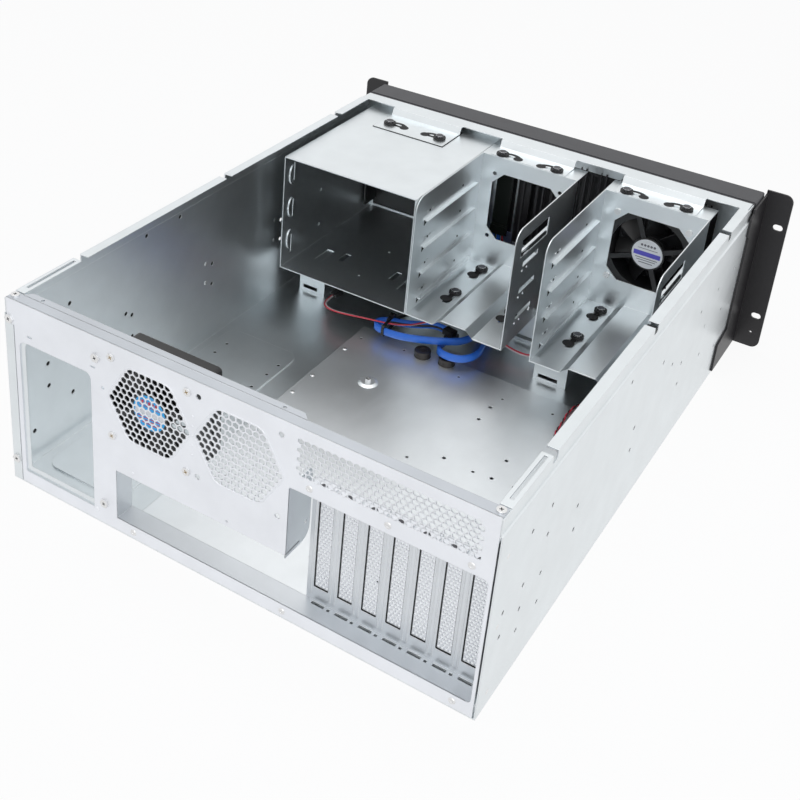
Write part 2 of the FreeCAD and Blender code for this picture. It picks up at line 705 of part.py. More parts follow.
def front_mesh():
    """Perforated black sheet that covers the air opening from the front."""
    middle, right = disk_cage_centres()
    edge = (right - diskwide / 2 + 1, middle + diskwide / 2 - 25)
    level = (cagelow + 8, cagelow + cagehigh - 4)
    slots = []
    middle_u = (edge[0] + edge[1]) / 2
    for centre in spaced(middle_u, 8, 23):
        slots.append(rectangle((centre - 2.4, centre + 2.4), (level[0] + 8, level[1] - 8)))
    return sheet_body("front_mesh", "XZ_Plane", (-deep - gauge, -deep), rectangle(edge, level),
                      slots)


# ---------------------------------------------------------------- cage feet and rubber mounts

def foot_places():
    """Side edges and setback of the brackets that carry the cages, two for each cage."""
    left = bayedge + baywide
    feet = [((left - 33.5, left - 2.5), footnear), ((bayedge + 10, bayedge + 41), footfar)]
    near = 25
    far = diskwide / 2 + 6.8
    for centre, setback in zip(disk_cage_centres(), (footfar, footnear)):
        feet += [((centre + near, centre + far), setback), ((centre - far, centre - near), setback)]
    return feet


def cage_foot(number, span, setback):
    """Channel bracket that lifts a cage off the floor, with a slotted rear face."""
    rear = -cagerear - setback
    front = -cagerear - footreach
    height = (gauge, cagelow)
    face = sheet_body(f"foot_face_{number}", "XZ_Plane", (rear - gauge, rear),
                      rectangle(span, height),
                      [rectangle((span[0] + 9, span[1] - 5), (gauge + 3, gauge + 7))])
    side = block(f"foot_side_{number}", (span[0], span[0] + gauge), (front, rear), height)
    other = block(f"foot_other_{number}", (span[1] - gauge, span[1]), (front, rear), height)
    top = block(f"foot_top_{number}", span, (front, rear), (cagelow - gauge, cagelow))
    return fuse(f"cage_foot_{number}", [face, side, other, top])


def rubber_ring(name, u, v, seat):
    """Faceted rubber ring that sits on the sheet around its hole."""
    collar = prism(name + "_collar", "z", (u, v), ringsize / 2, (seat, seat + 2.2), 12)
    bore = prism(name + "_bore", "z", (u, v), 2.5, (seat - 1, seat + 3), 6)
    return cut(name, collar, [bore])


def shoulder_screw(name, u, v, seat):
    """Low screw that holds a rubber ring down."""
    low = seat + 2.2
    head = prism(name + "_head", "z", (u, v), 4.2, (low, low + 1.8), 8)
    shank = prism(name + "_shank", "z", (u, v), 2.1, (seat - gauge, low + 0.5), 6)
    return fuse(name, [head, shank])


def ring_set(name, spots, seat):
    """All rubber rings and all screws of one cage or tab, as two nodes."""
    rings = []
    screws = []
    for number, (u, v) in enumerate(spots):
        rings.append(rubber_ring(f"{name}_ring_{number}", u, v, seat))
        screws.append(shoulder_screw(f"{name}_screw_{number}", u, v, seat))
    return group(name + "_rubbers", rings), group(name + "_screws", screws)


# ---------------------------------------------------------------- fans

def fan_frame(name, centre_u, centre_v, back, facing):
    """Fan housing with a bore, four screw holes, four struts and the motor cup.

    back is the depth of the face that carries the struts; facing is +1 where that face
    looks to the rear of the case and -1 where it looks to the front.
    """
    ends = (back - fandeep, back) if facing > 0 else (back, back + fandeep)
    side = fansize / 2
    bore = (centre_u, centre_v, rotorsize / 2 + 1)
    shell = sheet_body(name + "_shell", "XZ_Plane", ends,
                       rectangle((centre_u - side, centre_u + side),
                                 (centre_v - side, centre_v + side), 4), [], [bore])
    strut_y = (back - 3, back) if facing > 0 else (back, back + 3)
    struts = []
    for number in range(4):
        bar = doc.addObject("Part::Box", f"{name}_strut_{number}")
        bind(bar, "Length", rotorsize / 2 + 2)
        bar.Width = 2.5
        bar.Height = 5
        turn = FreeCAD.Rotation(FreeCAD.Vector(0, 1, 0), 90 * number + 22)
        offset = turn.multVec(FreeCAD.Vector(0, 0, -2.5))
        bar.Placement = FreeCAD.Placement(FreeCAD.Vector(), turn)
        place(bar, centre_u + offset.x, strut_y[0] + 0.25, centre_v + offset.z)
        struts.append(bar)
    cup = rod(name + "_cup", "y", (centre_u, centre_v), hubsize / 2, strut_y)
    solid = fuse(name + "_solid", [shell, *struts, cup])
    pilot = rod(name + "_bearing", "y", (centre_u, centre_v), shaftsize / 2 + 0.05,
                (strut_y[0] - 1, strut_y[1] - 1) if facing > 0 else (strut_y[0] + 1, strut_y[1] + 1))
    reach = (size_of(ends[0]).value - 1, size_of(ends[1]).value + 1)
    holes = hex_prisms(name + "_holes", fan_corners(centre_u, centre_v), 2.4, reach)
    return cut(name, solid, [pilot, holes])


def fan_blade(height, twist_low, twist_high):
    """One blade: a ruled solid between its root and tip sections, trimmed at the tip circle."""
    def section(radius, angle, chord):
        turn = math.radians(angle)
        along_u = chord / 2 * math.cos(turn)
        along_y = chord / 2 * math.sin(turn)
        thick = 0.7
        corners_uy = [(-along_u, -along_y), (along_u, along_y),
                      (along_u + thick, along_y - thick), (-along_u + thick, -along_y - thick)]
        ring = [FreeCAD.Vector(u, y, radius) for u, y in corners_uy]
        return Part.makePolygon(ring + [ring[0]])
    low = section(hubsize.value / 2 - 1.5, twist_low, height)
    high = section(rotorsize.value / 2, twist_high, height)
    tip = Part.makeCylinder(rotorsize.value / 2, fandeep.value, FreeCAD.Vector(0, -fandeep.value / 2),
                            FreeCAD.Vector(0, 1, 0))
    return Part.makeLoft([low, high], True, True).common(tip)


def fan_rotor(name, centre_u, centre_v, back, facing):
    """Impeller: hub, shaft and seven pitched blades around the fan axis."""
    middle = back - fandeep / 2 - 1.5 if facing > 0 else back + fandeep / 2 + 1.5
    depth = fandeep - 8
    hub = rod(name + "_hub", "y", (0, 0), hubsize / 2 - 0.5, (-depth / 2, depth / 2))
    shaft_y = (depth / 2 - 1, depth / 2 + 3.2) if facing > 0 else (-depth / 2 - 3.2, 1 - depth / 2)
    shaft = rod(name + "_shaft", "y", (0, 0), shaftsize / 2, shaft_y)
    blades = doc.addObject("Part::Feature", name + "_blades")
    blade = fan_blade(19, 42, 42)
    copies = []
    for number in range(7):
        turned = blade.copy()
        turned.rotate(FreeCAD.Vector(), FreeCAD.Vector(0, 1, 0), 360 / 7 * number)
        copies.append(turned)
    blades.Shape = Part.makeCompound(copies)
    solid = fuse(name, [hub, shaft, blades])
    place(solid, centre_u, middle, centre_v)
    return solid, middle


def fan_set(name, centre_u, centre_v, back, facing):
    piece(name + "_frame", fan_frame(name + "_frame", centre_u, centre_v, back, facing))
    rotor, middle = fan_rotor(name + "_rotor", centre_u, centre_v, back, facing)
    piece(name + "_rotor", rotor)
    bind(rotor, "Placement.Base.y", middle + shift_y)


# ---------------------------------------------------------------- rack ears and front

def rack_ear(name, sign):
    """Angle bracket: stepped side plate on the wall and a flange with two rack holes."""
    wall = half * sign
    outer = rackwide / 2 * sign
    def across(near, far):
        return (near, far) if sign > 0 else (far, near)
    front = -earfront
    plate = sheet_body(name + "_plate", "YZ_Plane", across(wall, wall + earthick * sign),
                       [(front, 4), (32 - deep, 4), (32 - deep, 34), (5 - deep, 40),
                        (5 - deep, 142), (10 - deep, 146), (10 - deep, 164), (3 - deep, 168),
                        (3 - deep, 172), (front, 172)])
    middle = size_of(88)
    holes = []
    for rise in (-rackrise / 2, rackrise / 2):
        hole_u = rackhole / 2 * sign
        spots = rectangle((hole_u - 4.8, hole_u + 4.8), (middle + rise - 3.3, middle + rise + 3.3),
                          3.2)
        holes.append(spots)
    flange = sheet_body(name + "_flange", "XZ_Plane", (front - earthick, front),
                        [(*spot, 8) if spot[0] is outer else spot for spot in
                         rectangle(across(wall, outer), (1, tall - 1))], holes,
                        [(rackhole / 2 * sign - sign * 1.5, 17.5, 1.2)])
    return fuse(name, [plate, flange])


def bezel_frame():
    """Deep front frame with a stepped rear edge and an opening for the door."""
    back = -deep - 0.2
    front = back - bezeldeep
    side = half - 0.3
    ring = sheet_body("bezel_ring", "XZ_Plane", (front, back - 5),
                      rectangle((-side, side), (0.5, tall - 0.3), 2),
                      [rectangle((bezelwall - side, side - bezelwall),
                                 (0.5 + bezelwall, tall - 0.3 - bezelwall))])
    rear = sheet_body("bezel_rear", "XZ_Plane", (back - 5.5, back),
                      rectangle((1 - side, side - 1), (1.3, tall - 1.1)),
                      [rectangle((7 - side, side - 7), (8, tall - 9))])
    face = sheet_body("bezel_face", "XZ_Plane", (front, front + 2.5),
                      rectangle((1 - side, side - 1), (1.5, tall - 1.5)),
                      [rectangle(*door_window())])
    return fuse("bezel_frame", [ring, rear, face])


def door_window():
    """The opening in the front frame, across and up."""
    return (24 - half, half - 24), (14, tall - 14)


def front_door():
    """Front door with turned rims, hinge eyes and a bore for the lock."""
    span, level = door_window()
    face_y = -deep - 0.2 - bezeldeep
    x = (span[0] + 1, span[1] - 3)
    z = (level[0] + 1, level[1] - 1)
    lock = (span[0] + 16, (z[0] + z[1]) / 2, 8.1)
    panel = sheet_body("door_panel", "XZ_Plane", (face_y, face_y + doorthick),
                       rectangle(x, z, 1.5), [], [lock])
    pieces = [panel]
    rim = (face_y + doorthick / 2, face_y + 8)
    pieces.append(block("door_rim_top", (x[0] + 4, x[1] - 12), rim, (z[1] - doorthick, z[1])))
    pieces.append(block("door_rim_low", (x[0] + 4, x[1] - 12), rim, (z[0], z[0] + doorthick)))
    axis = door_axis()
    for mark, height in (("low", (z[0], z[0] + 10)), ("top", (z[1] - 10, z[1]))):
        pieces.append(block(f"door_eye_web_{mark}", (axis[0] - 3.5, axis[0] + 3.5),
                            (face_y + doorthick / 2, axis[1]), height))
        pieces.append(rod(f"door_eye_{mark}", "z", axis, 3.5, height))
    solid = fuse("door_solid", pieces)
    bores = [rod("door_bore_low", "z", axis, 1.6, (z[0] - 1, z[0] + 6)),
             rod("door_bore_top", "z", axis, 1.6, (z[1] - 6, z[1] + 1))]
    return cut("front_door", solid, bores)


def door_axis():
    """Place of the door's hinge line, sideways and in depth."""
    span, level = door_window()
    return span[1] - 7, -deep - 0.2 - bezeldeep + 4.5


def hinge_pins():
    """Two hinge pins, each held in the edge of the front frame's opening."""
    span, level = door_window()
    axis = door_axis()
    frame_y = (axis[1] - 2.2, axis[1] + 2.2)
    pins = []
    for mark, near, far in (("low", level[0], level[0] - 6), ("top", level[1], level[1] + 6)):
        inward = 5 if mark == "low" else -5
        ends = (far, near + inward) if mark == "low" else (near + inward, far)
        pins.append(rod(f"pin_{mark}", "z", axis, 1.5, ends))
    return group("hinge_pins", pins)


def hinge_blocks():
    """Two blocks behind the frame's face that the hinge pins stand in."""
    span, level = door_window()
    axis = door_axis()
    blocks = []
    face = -deep - 0.2 - bezeldeep + 2.5
    for mark, z in (("low", (level[0] - 8, level[0] - 0.3)), ("top", (level[1] + 0.3, level[1] + 8))):
        solid = block(f"hinge_body_{mark}", (axis[0] - 5, axis[0] + 5), (face, face + 9), z)
        bore = rod(f"hinge_seat_{mark}", "z", axis, 1.5, (z[0] + 2, z[1] + 1) if mark == "low"
                   else (z[0] - 1, z[1] - 2))
        blocks.append(cut(f"hinge_block_{mark}", solid, [bore]))
    return group("hinge_blocks", blocks)


def door_lock():
    """Cylinder lock with its cam, turning in the door."""
    span, level = door_window()
    face_y = -deep - 0.2 - bezeldeep
    centre = (span[0] + 16, (level[0] + level[1]) / 2)
    barrel = rod("lock_barrel", "y", centre, 8, (face_y, face_y + 12))
    cam = block("lock_cam", (centre[0] - 6, centre[0] + 6), (face_y + 9, face_y + 11),
                (centre[1] - 6, centre[1] + 22))
    key = block("lock_slot", (centre[0] - 0.6, centre[0] + 0.6), (face_y - 1, face_y + 4),
                (centre[1] - 3.5, centre[1] + 3.5))
    return cut("door_lock", fuse("lock_solid", [barrel, cam]), [key])


# ---------------------------------------------------------------- controls and bay covers

def control_place():
    middle, right = disk_cage_centres()
    return middle + diskwide / 2 - 14, cagelow + cagehigh / 2


def control_panel():
    """Plate in front of the front wall that carries the two buttons and the lamps."""
    u, v = control_place()
    front = -deep - 2.5
    plate = rectangle((u - 10.5, u + 10.5), (v - 44, v + 44), 2)
    circles = [(u, v + 28, 6.3), (u, v + 10, 4.3)]
    panel = sheet_body("control_plate", "XZ_Plane", (front, -deep), plate, [], circles)
    holes = [prism(f"lamp_hole_{number}", "y", (u, v + rise), 2.6, (front - 1, 1 - deep), 8)
             for number, rise in enumerate((-8, -18))]
    return cut("control_panel", panel, holes)


def push_button(name, rise, radius):
    """Stepped push button: its cap stands in the panel and its collar sits behind it."""
    u, v = control_place()
    front = -deep - 2.5
    cap = prism(name + "_cap", "y", (u, v + rise), radius, (front - 2.5, front + 3.2), 20)
    collar = prism(name + "_collar", "y", (u, v + rise), radius + 1.2, (front + 2.9, front + 4.4),
                   20)
    return fuse(name, [cap, collar])


def status_lamps():
    """Two light pipes in the control panel."""
    u, v = control_place()
    front = -deep - 2.5
    lamps = [prism(f"lamp_{number}", "y", (u, v + rise), 2.6, (front - 0.4, front + 6), 8)
             for number, rise in enumerate((-8, -18))]
    return group("status_lamps", lamps)


def control_board():
    """Circuit board behind the buttons, with its two switches and the leads' socket."""
    u, v = control_place()
    level = -deep + 9
    board = block("board_plate", (u - 9, u + 9), (level, level + 1.6), (v - 42, v + 42))
    posts = [prism(f"board_switch_{number}", "y", (u, v + rise), 2.4, (level - 4.7, level + 0.5), 8)
             for number, rise in enumerate((28, 10))]
    pillars = [block(f"board_pillar_{number}", (u - 3, u + 3), (gauge - deep, level + 0.5), span)
               for number, span in enumerate(((v - 43, v - 37), (v + 38, v + 43)))]
    socket = block("board_socket", (u - 9, u + 8), (level + 1.4, level + 7.6), (v - 39.5, v - 30))
    return fuse("control_board", [board, *posts, *pillars, socket])


def bay_cover(number):
    """Blanking cover for one drive bay, with returns along its short sides."""
    height = spaced(cagelow + cagehigh / 2, 41.3, 3)[number]
    u = (bayedge + 2.8, bayedge + baywide - 2.8)
    v = (height - 20.2, height + 20.2)
    front = -deep - 2.5
    face = sheet_body(f"cover_face_{number}", "XZ_Plane", (front, front + 2.5), rectangle(u, v, 2))
    sides = [block(f"cover_side_{number}{mark}", span, (front + 1, -deep + 24), (v[0] + 8, v[1] - 8))
             for mark, span in enumerate(((u[0], u[0] + 2), (u[1] - 2, u[1])))]
    return fuse(f"bay_cover_{number + 1}", [face, *sides])


# ---------------------------------------------------------------- fasteners

def rear_screw(name, u, v):
    """Hexagon-washer screw in the rear panel."""
    head = prism(name + "_head", "y", (u, v), 4.2, (0, headhigh), 6)
    shank = prism(name + "_shank", "y", (u, v), 1.6, (-6, 0.5), 8)
    return fuse(name, [head, shank])


def lid_screws():
    """Two screws in the corners of the top edge."""
    screws = []
    for number, sign in enumerate((-1, 1)):
        u = sign * (bandhalf - 5)
        head = prism(f"lid_head_{number}", "z", (u, -6.5), 3.6, (tall, tall + 1), 12)
        screws.append(head)
    return group("lid_screws", screws)


def fan_screws(name, centre_u, centre_v, face):
    """Four fan screws: heads on the sheet, shanks in the fan's corner holes."""
    screws = []
    for number, (u, v) in enumerate(fan_corners(centre_u, centre_v)):
        head = prism(f"{name}_head_{number}", "y", (u, v), 3.6, (face, face + 1), 8)
        shank = prism(f"{name}_shank_{number}", "y", (u, v), 2.0, (face - 9, face + 0.5), 6)
        screws.append(fuse(f"{name}_{number}", [head, shank]))
    return group(name, screws)


# ---------------------------------------------------------------- leads and their bundle

LEAD_SIDES = 6


def lead(name, route, size):
    """A free lead: straight runs joined by tangent arcs, swept by its section."""
    points = [FreeCAD.Vector(*point) for point in route]
    edges = []
    radii = []
    start = points[0]
    length = 0.0
    for before, corner, after in zip(points, points[1:], points[2:]):
        near = before - corner
        far = after - corner
        reach = 0.45 * min(near.Length, far.Length)
        turn = math.pi - near.getAngle(far)
        radius = reach / math.tan(turn / 2)
        radii.append(radius)
        enter = corner + near.normalize() * reach
        leave = corner + far.normalize() * reach
        middle = (near + far).normalize()
        top = corner + middle * (radius / math.cos(turn / 2) - radius)
        edges += [Part.LineSegment(start, enter).toShape(), Part.Arc(enter, top, leave).toShape()]
        length += start.distanceToPoint(enter) + radius * turn
        start = leave
    edges.append(Part.LineSegment(start, points[-1]).toShape())
    length += start.distanceToPoint(points[-1])
    ring = [FreeCAD.Vector(size.value / 2 * math.cos(math.tau * side / LEAD_SIDES),
                           size.value / 2 * math.sin(math.tau * side / LEAD_SIDES), 0) + points[0]
            for side in range(LEAD_SIDES)]
    section = Part.makePolygon(ring + ring[:1])
    tube = Part.Wire(edges).makePipeShell([section], True, True)
    item = doc.addObject("Part::Feature", name)
    item.Shape = tube
    expected = Part.Face(section).Area * length
    print(f"{name}: length {length:.1f}, radii {min(radii):.1f} to {max(radii):.1f}, "
          f"volume {tube.Volume / expected:.5f} of section times length")
    return item


BLUE_CABLE = [(40, -535.4, 66), (40, -535.4, 56.5), (37.5, -532.5, 46), (32.5, -525.5, 35),
              (26.5, -516, 25), (20.5, -504.5, 16), (13.5, -491.5, 9), (6, -477, 5),
              (-0.5, -461.5, 3.2), (-4, -446, 3.5), (-4.5, -432, 6.5), (-4.5, -419.5, 11.5),
              (-5.5, -408, 16), (-5.5, -396, 19), (-1.5, -384.8, 20.5), (7.5, -376.5, 21.5),
              (19, -370.3, 21), (33, -365.3, 19.5), (48, -361.2, 18.3), (62, -359.2, 18),
              (73, -359.6, 18), (81.5, -362.5, 18), (83.5, -371, 18), (77, -378, 18),
              (66, -380.4, 19), (54, -382.4, 20.5), (42, -386, 22.5), (32, -389.5, 24.6),
              (23.5, -391, 25), (17, -389.5, 25)]
BLUE_LOOP = [(34, -535.4, 66), (34, -535.4, 56.5), (31, -532, 46), (25.5, -524.5, 35),
             (19, -514.5, 25), (12.5, -503, 16), (5.5, -490, 9), (-2.5, -476, 5), (-9, -461, 3.2),
             (-12.5, -446, 3.5), (-13.5, -432, 6.5), (-15.5, -419.5, 11.5), (-19, -408, 15.5),
             (-22.5, -396.5, 17), (-24.3, -384.5, 17), (-22.5, -372.5, 17), (-15, -362.8, 17),
             (-3.5, -359, 17.3), (7.5, -362.5, 16), (14, -371.5, 13), (15.6, -382.5, 12),
             (14.6, -392.5, 12)]
FAN_LEAD = [(-104, -516, 73.7), (-104, -516, 66), (-102.5, -515.4, 57), (-97, -515.5, 46),
            (-88, -516.5, 35), (-78.5, -513.5, 25), (-71.5, -504, 17), (-68.8, -490, 11.5),
            (-68, -474, 9), (-69, -458.5, 8.5), (-69.5, -443, 9.5), (-69, -429, 10.8),
            (-64.5, -417.5, 11.8), (-52.5, -415.6, 12), (-38, -418.5, 12.5), (-24, -419, 16),
            (-10.5, -415.5, 21), (3, -410, 25.5), (15.5, -402.5, 29), (26.5, -394, 30),
            (36.5, -386, 28), (46.8, -378, 24.5), (57.5, -371.5, 23.4), (69.5, -367.3, 22.7),
            (82.5, -364.3, 22.6), (96.5, -362, 22), (110.5, -359.8, 20.8), (124.6, -359.6, 19),
            (137.5, -363, 16.5), (147, -371.5, 14), (151, -383, 12.5), (150.5, -394, 12.5)]
SWITCH_LEAD = [(29.4, -535.4, 66), (29.4, -535.4, 57), (26, -534.5, 47), (18.5, -534, 37),
               (8, -534.5, 28), (-4, -535, 19.5), (-18, -534, 12), (-34, -532.5, 6.5),
               (-52, -533.5, 3.4), (-72, -535, 2.6), (-93, -534, 2.6), (-113, -530, 2.6),
               (-129.5, -520.5, 2.6), (-139.5, -505, 2.6), (-143, -486, 2.6), (-141.5, -466, 2.6),
               (-143.5, -446, 2.6), (-144.5, -426, 2.6), (-141.5, -407, 3), (-138, -390, 5),
               (-135.4, -375, 7.5), (-133.4, -361.5, 7.2), (-135, -348.5, 6.6), (-136.6, -335, 6.6),
               (-135.8, -322, 6.6), (-138.5, -310, 6.6), (-145, -300.5, 6.6), (-152.5, -294, 6.6)]


def cable_plug(name, route, length, width, height):
    """Connector housing whose rear face meets the end of a lead."""
    last, end = (FreeCAD.Vector(*point) for point in route[-2:])
    turn = math.degrees(math.atan2(end.y - last.y, end.x - last.x))
    solid = doc.addObject("Part::Box", name)
    solid.Length, solid.Width, solid.Height = length, width, height
    rotation = FreeCAD.Rotation(FreeCAD.Vector(0, 0, 1), turn)
    corner = end + rotation.multVec(FreeCAD.Vector(0, -width / 2, -height / 2))
    solid.Placement = FreeCAD.Placement(corner, rotation)
    return solid


def cable_plugs():
    """The four connectors at the leads' free ends."""
    return group("cable_plugs", [cable_plug("plug_cable", BLUE_CABLE, 12, 9, 6),
                                 cable_plug("plug_loop", BLUE_LOOP, 13, 10, 6),
                                 cable_plug("plug_fan", FAN_LEAD, 12, 8, 5),
                                 cable_plug("plug_switch", SWITCH_LEAD, 14, 5, 3)])


def cable_tie():
    """Strap around the bundle, drawn round over its lower and upper bends."""
    inside = [(-382.6, 16.4), (-357.7, 13), (-357.7, 23), (-382.6, 26)]
    outside = [(-383.7, 15.4), (-356.6, 11.8), (-356.6, 24.2), (-383.7, 27.2)]
    return sheet_body("cable_tie", "YZ_Plane", (68.4, 71.2),
                      [(*spot, 3.5) for spot in outside], [[(*spot, 2.4) for spot in inside]])


def cable_rests():
    """Two rubber discs on the tray under the bundle."""
    deck = gauge + traylift
    discs = [rod(f"rest_{number}", "z", spot, 8.5, (deck, deck + 7))
             for number, spot in enumerate(((25.8, -362.5), (0.3, -365)))]
    return group("cable_rests", discs)


# ---------------------------------------------------------------- assembly

piece("base_pan", base_pan())
piece("rear_panel", rear_panel())
piece("psu_frame", psu_frame())
piece("slot_panel", slot_panel())
for index in range(7):
    piece(f"slot_cover_{index + 1}", slot_cover(index))
piece("motherboard_tray", motherboard_tray())
piece("standoff", standoff())
piece("drive_bay_cage", drive_cage())
middle_cage, right_cage = disk_cage_centres()
piece("disk_cage_middle", disk_cage("disk_cage_middle", middle_cage))
piece("disk_cage_right", disk_cage("disk_cage_right", right_cage))
piece("front_wall", front_wall())
piece("front_mesh", front_mesh())
for index, (edges, setback) in enumerate(foot_places()):
    piece(f"cage_foot_{index + 1}", cage_foot(index + 1, edges, setback))

cage_top = cagelow + cagehigh + gauge
tab_spots = [(u, tab_screw_depth(name)) for name, centre in tab_centres().items()
             for u in tab_screw_spots(centre)]
sets = {"tab": (tab_spots, cage_top),
        "middle_cage": (ring_spots(middle_cage), cagelow + gauge),
        "right_cage": (ring_spots(right_cage), cagelow + gauge)}
for name, (spots, seat) in sets.items():
    rings, screws = ring_set(name, spots, seat)
    piece(name + "_rubbers", rings)
    piece(name + "_screws", screws)

fan_set("rear_fan", fanside, fanhigh, -gauge, 1)
disk_fan_high = cagelow + 71.2
fan_set("front_fan", right_cage, disk_fan_high, -fanwall - gauge, 1)
piece("rear_fan_screws", fan_screws("rear_fan_screws", fanside, fanhigh, 0))
piece("front_fan_screws", fan_screws("front_fan_screws", right_cage, disk_fan_high, -fanwall))

piece("ear_left", rack_ear("ear_left", 1))
piece("ear_right", rack_ear("ear_right", -1))
piece("bezel_frame", bezel_frame())
piece("front_door", front_door())
piece("door_lock", door_lock())
piece("hinge_pins", hinge_pins())
piece("hinge_blocks", hinge_blocks())
piece("control_panel", control_panel())
piece("power_button", push_button("power_button", 28, 6))
piece("reset_button", push_button("reset_button", 10, 4))
piece("status_lamps", status_lamps())
piece("control_board", control_board())
for index in range(3):
    piece(f"bay_cover_{index + 1}", bay_cover(index))
psu_heads = [rear_screw(f"psu_screw_{index}", u, v) for index, (u, v) in enumerate(psu_screw_spots())]
piece("psu_screws", group("psu_screws_set", psu_heads))
piece("lid_screws", lid_screws())

piece("blue_cable", lead("blue_cable", BLUE_CABLE, blueround))
piece("blue_loop", lead("blue_loop", BLUE_LOOP, blueround))
piece("fan_lead", lead("fan_lead", FAN_LEAD, redround))
piece("switch_lead", lead("switch_lead", SWITCH_LEAD, pairround))
piece("cable_plugs", cable_plugs())
piece("cable_tie", cable_tie())
piece("cable_rests", cable_rests())

doc.recompute()
for item in doc.Objects:
    if "Invalid" in item.State or "Error" in item.State:
        raise RuntimeError(f"{item.Name} did not recompute: {item.State}")
for name, item in finished.items():
    if item.Shape.isNull() or not item.Shape.isValid():
        raise RuntimeError(f"{name} has no valid shape")
for name, item in finished.items():
    item.Shape.exportStep(f"parts/{name}.step")
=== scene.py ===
"""Looks of an empty rackmount server case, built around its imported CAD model."""
import math

import bmesh
import bpy
from mathutils import Matrix, Vector


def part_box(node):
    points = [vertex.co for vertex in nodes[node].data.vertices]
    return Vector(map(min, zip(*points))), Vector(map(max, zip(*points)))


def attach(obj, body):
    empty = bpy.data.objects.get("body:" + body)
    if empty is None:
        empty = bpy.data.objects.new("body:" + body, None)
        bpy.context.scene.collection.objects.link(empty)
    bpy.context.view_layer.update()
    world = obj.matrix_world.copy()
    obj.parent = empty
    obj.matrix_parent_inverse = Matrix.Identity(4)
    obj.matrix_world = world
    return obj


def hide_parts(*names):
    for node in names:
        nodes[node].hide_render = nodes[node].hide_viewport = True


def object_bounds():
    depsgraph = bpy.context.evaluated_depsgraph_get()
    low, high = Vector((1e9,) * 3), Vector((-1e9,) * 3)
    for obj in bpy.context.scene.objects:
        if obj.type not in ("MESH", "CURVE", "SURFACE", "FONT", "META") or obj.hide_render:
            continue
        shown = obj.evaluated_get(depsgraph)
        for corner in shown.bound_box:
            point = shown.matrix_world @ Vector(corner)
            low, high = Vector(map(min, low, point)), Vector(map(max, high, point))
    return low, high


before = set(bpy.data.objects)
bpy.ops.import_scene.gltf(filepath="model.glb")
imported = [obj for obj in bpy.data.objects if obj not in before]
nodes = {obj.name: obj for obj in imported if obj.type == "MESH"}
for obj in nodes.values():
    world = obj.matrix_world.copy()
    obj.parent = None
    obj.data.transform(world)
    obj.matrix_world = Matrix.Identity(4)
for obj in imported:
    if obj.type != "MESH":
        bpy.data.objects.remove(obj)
cad_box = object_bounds()
scene = bpy.context.scene
scene.view_settings.view_transform = "Standard"

# ---------------------------------------------------------------- camera
# The case stands open towards the viewer, seen from behind its right rear corner and from
# above, through a lens that is shifted so that upright edges stay nearly parallel.
camera_data = bpy.data.cameras.new("camera")
camera_data.sensor_width = 36.0
camera_data.lens = 57.11
camera_data.shift_x = 0.0910
camera_data.shift_y = -0.2489
camera = bpy.data.objects.new("camera", camera_data)
camera.location = (-0.4256, 0.8866, 0.6996)
camera.rotation_euler = [math.radians(angle) for angle in (63.1035, -3.3616, -147.3155)]
scene.collection.objects.link(camera)
scene.camera = camera

# ---------------------------------------------------------------- studio
# A white table in a bright studio: one broad lamp overhead, a softer one behind the viewer and
# one to the right, with white surroundings that the bare steel mirrors.
WHITE = (1.0, 1.0, 1.0, 1.0)
TABLE_REACH = 6.0
TABLE_DROP = 0.0004
TABLE_GLOW = 0.92


def new_material(name):
    """An empty node material with its Principled shader."""
    material = bpy.data.materials.new(name)
    material.use_nodes = True
    tree = material.node_tree
    return material, tree, tree.nodes["Principled BSDF"]


def joined(tree, source, target):
    """One link between two sockets."""
    tree.links.new(source, target)


def maths(tree, operation, first, second):
    """One arithmetic step between a socket and a socket or number."""
    node = tree.nodes.new("ShaderNodeMath")
    node.operation = operation
    joined(tree, first, node.inputs[0])
    if isinstance(second, float):
        node.inputs[1].default_value = second
    else:
        joined(tree, second, node.inputs[1])
    return node.outputs[0]


def glowing(tree, kind, colour, strength):
    """An emission or background shader."""
    node = tree.nodes.new(kind)
    node.inputs["Color"].default_value = colour
    node.inputs["Strength"].default_value = strength
    return node.outputs[0]


def shown_by(tree, factor, first, second, end):
    """Sends a mix of two shaders to the tree's end node."""
    mix = tree.nodes.new("ShaderNodeMixShader")
    for index, source in enumerate((factor, first, second)):
        joined(tree, source, mix.inputs[index])
    joined(tree, mix.outputs["Shader"], tree.nodes[end].inputs["Surface"])


table_mesh = bpy.data.meshes.new("table")
table_mesh.from_pydata([(x * TABLE_REACH, y * TABLE_REACH, 0)
                        for x, y in ((-1, -1), (1, -1), (1, 1), (-1, 1))], [], [(0, 1, 2, 3)])
table = bpy.data.objects.new("table", table_mesh)
scene.collection.objects.link(table)
table.location.z = cad_box[0][2] - TABLE_DROP
table_paint, tree, shader = new_material("table_paint")
shader.inputs["Base Color"].default_value = (0.86, 0.86, 0.87, 1.0)
shader.inputs["Roughness"].default_value = 0.8
ray = tree.nodes.new("ShaderNodeLightPath").outputs
direct = maths(tree, "MAXIMUM", ray["Is Camera Ray"], ray["Is Glossy Ray"])
shown_by(tree, maths(tree, "MULTIPLY", direct, TABLE_GLOW), shader.outputs["BSDF"],
         glowing(tree, "ShaderNodeEmission", WHITE, 1.0), "Material Output")
table_mesh.materials.append(table_paint)

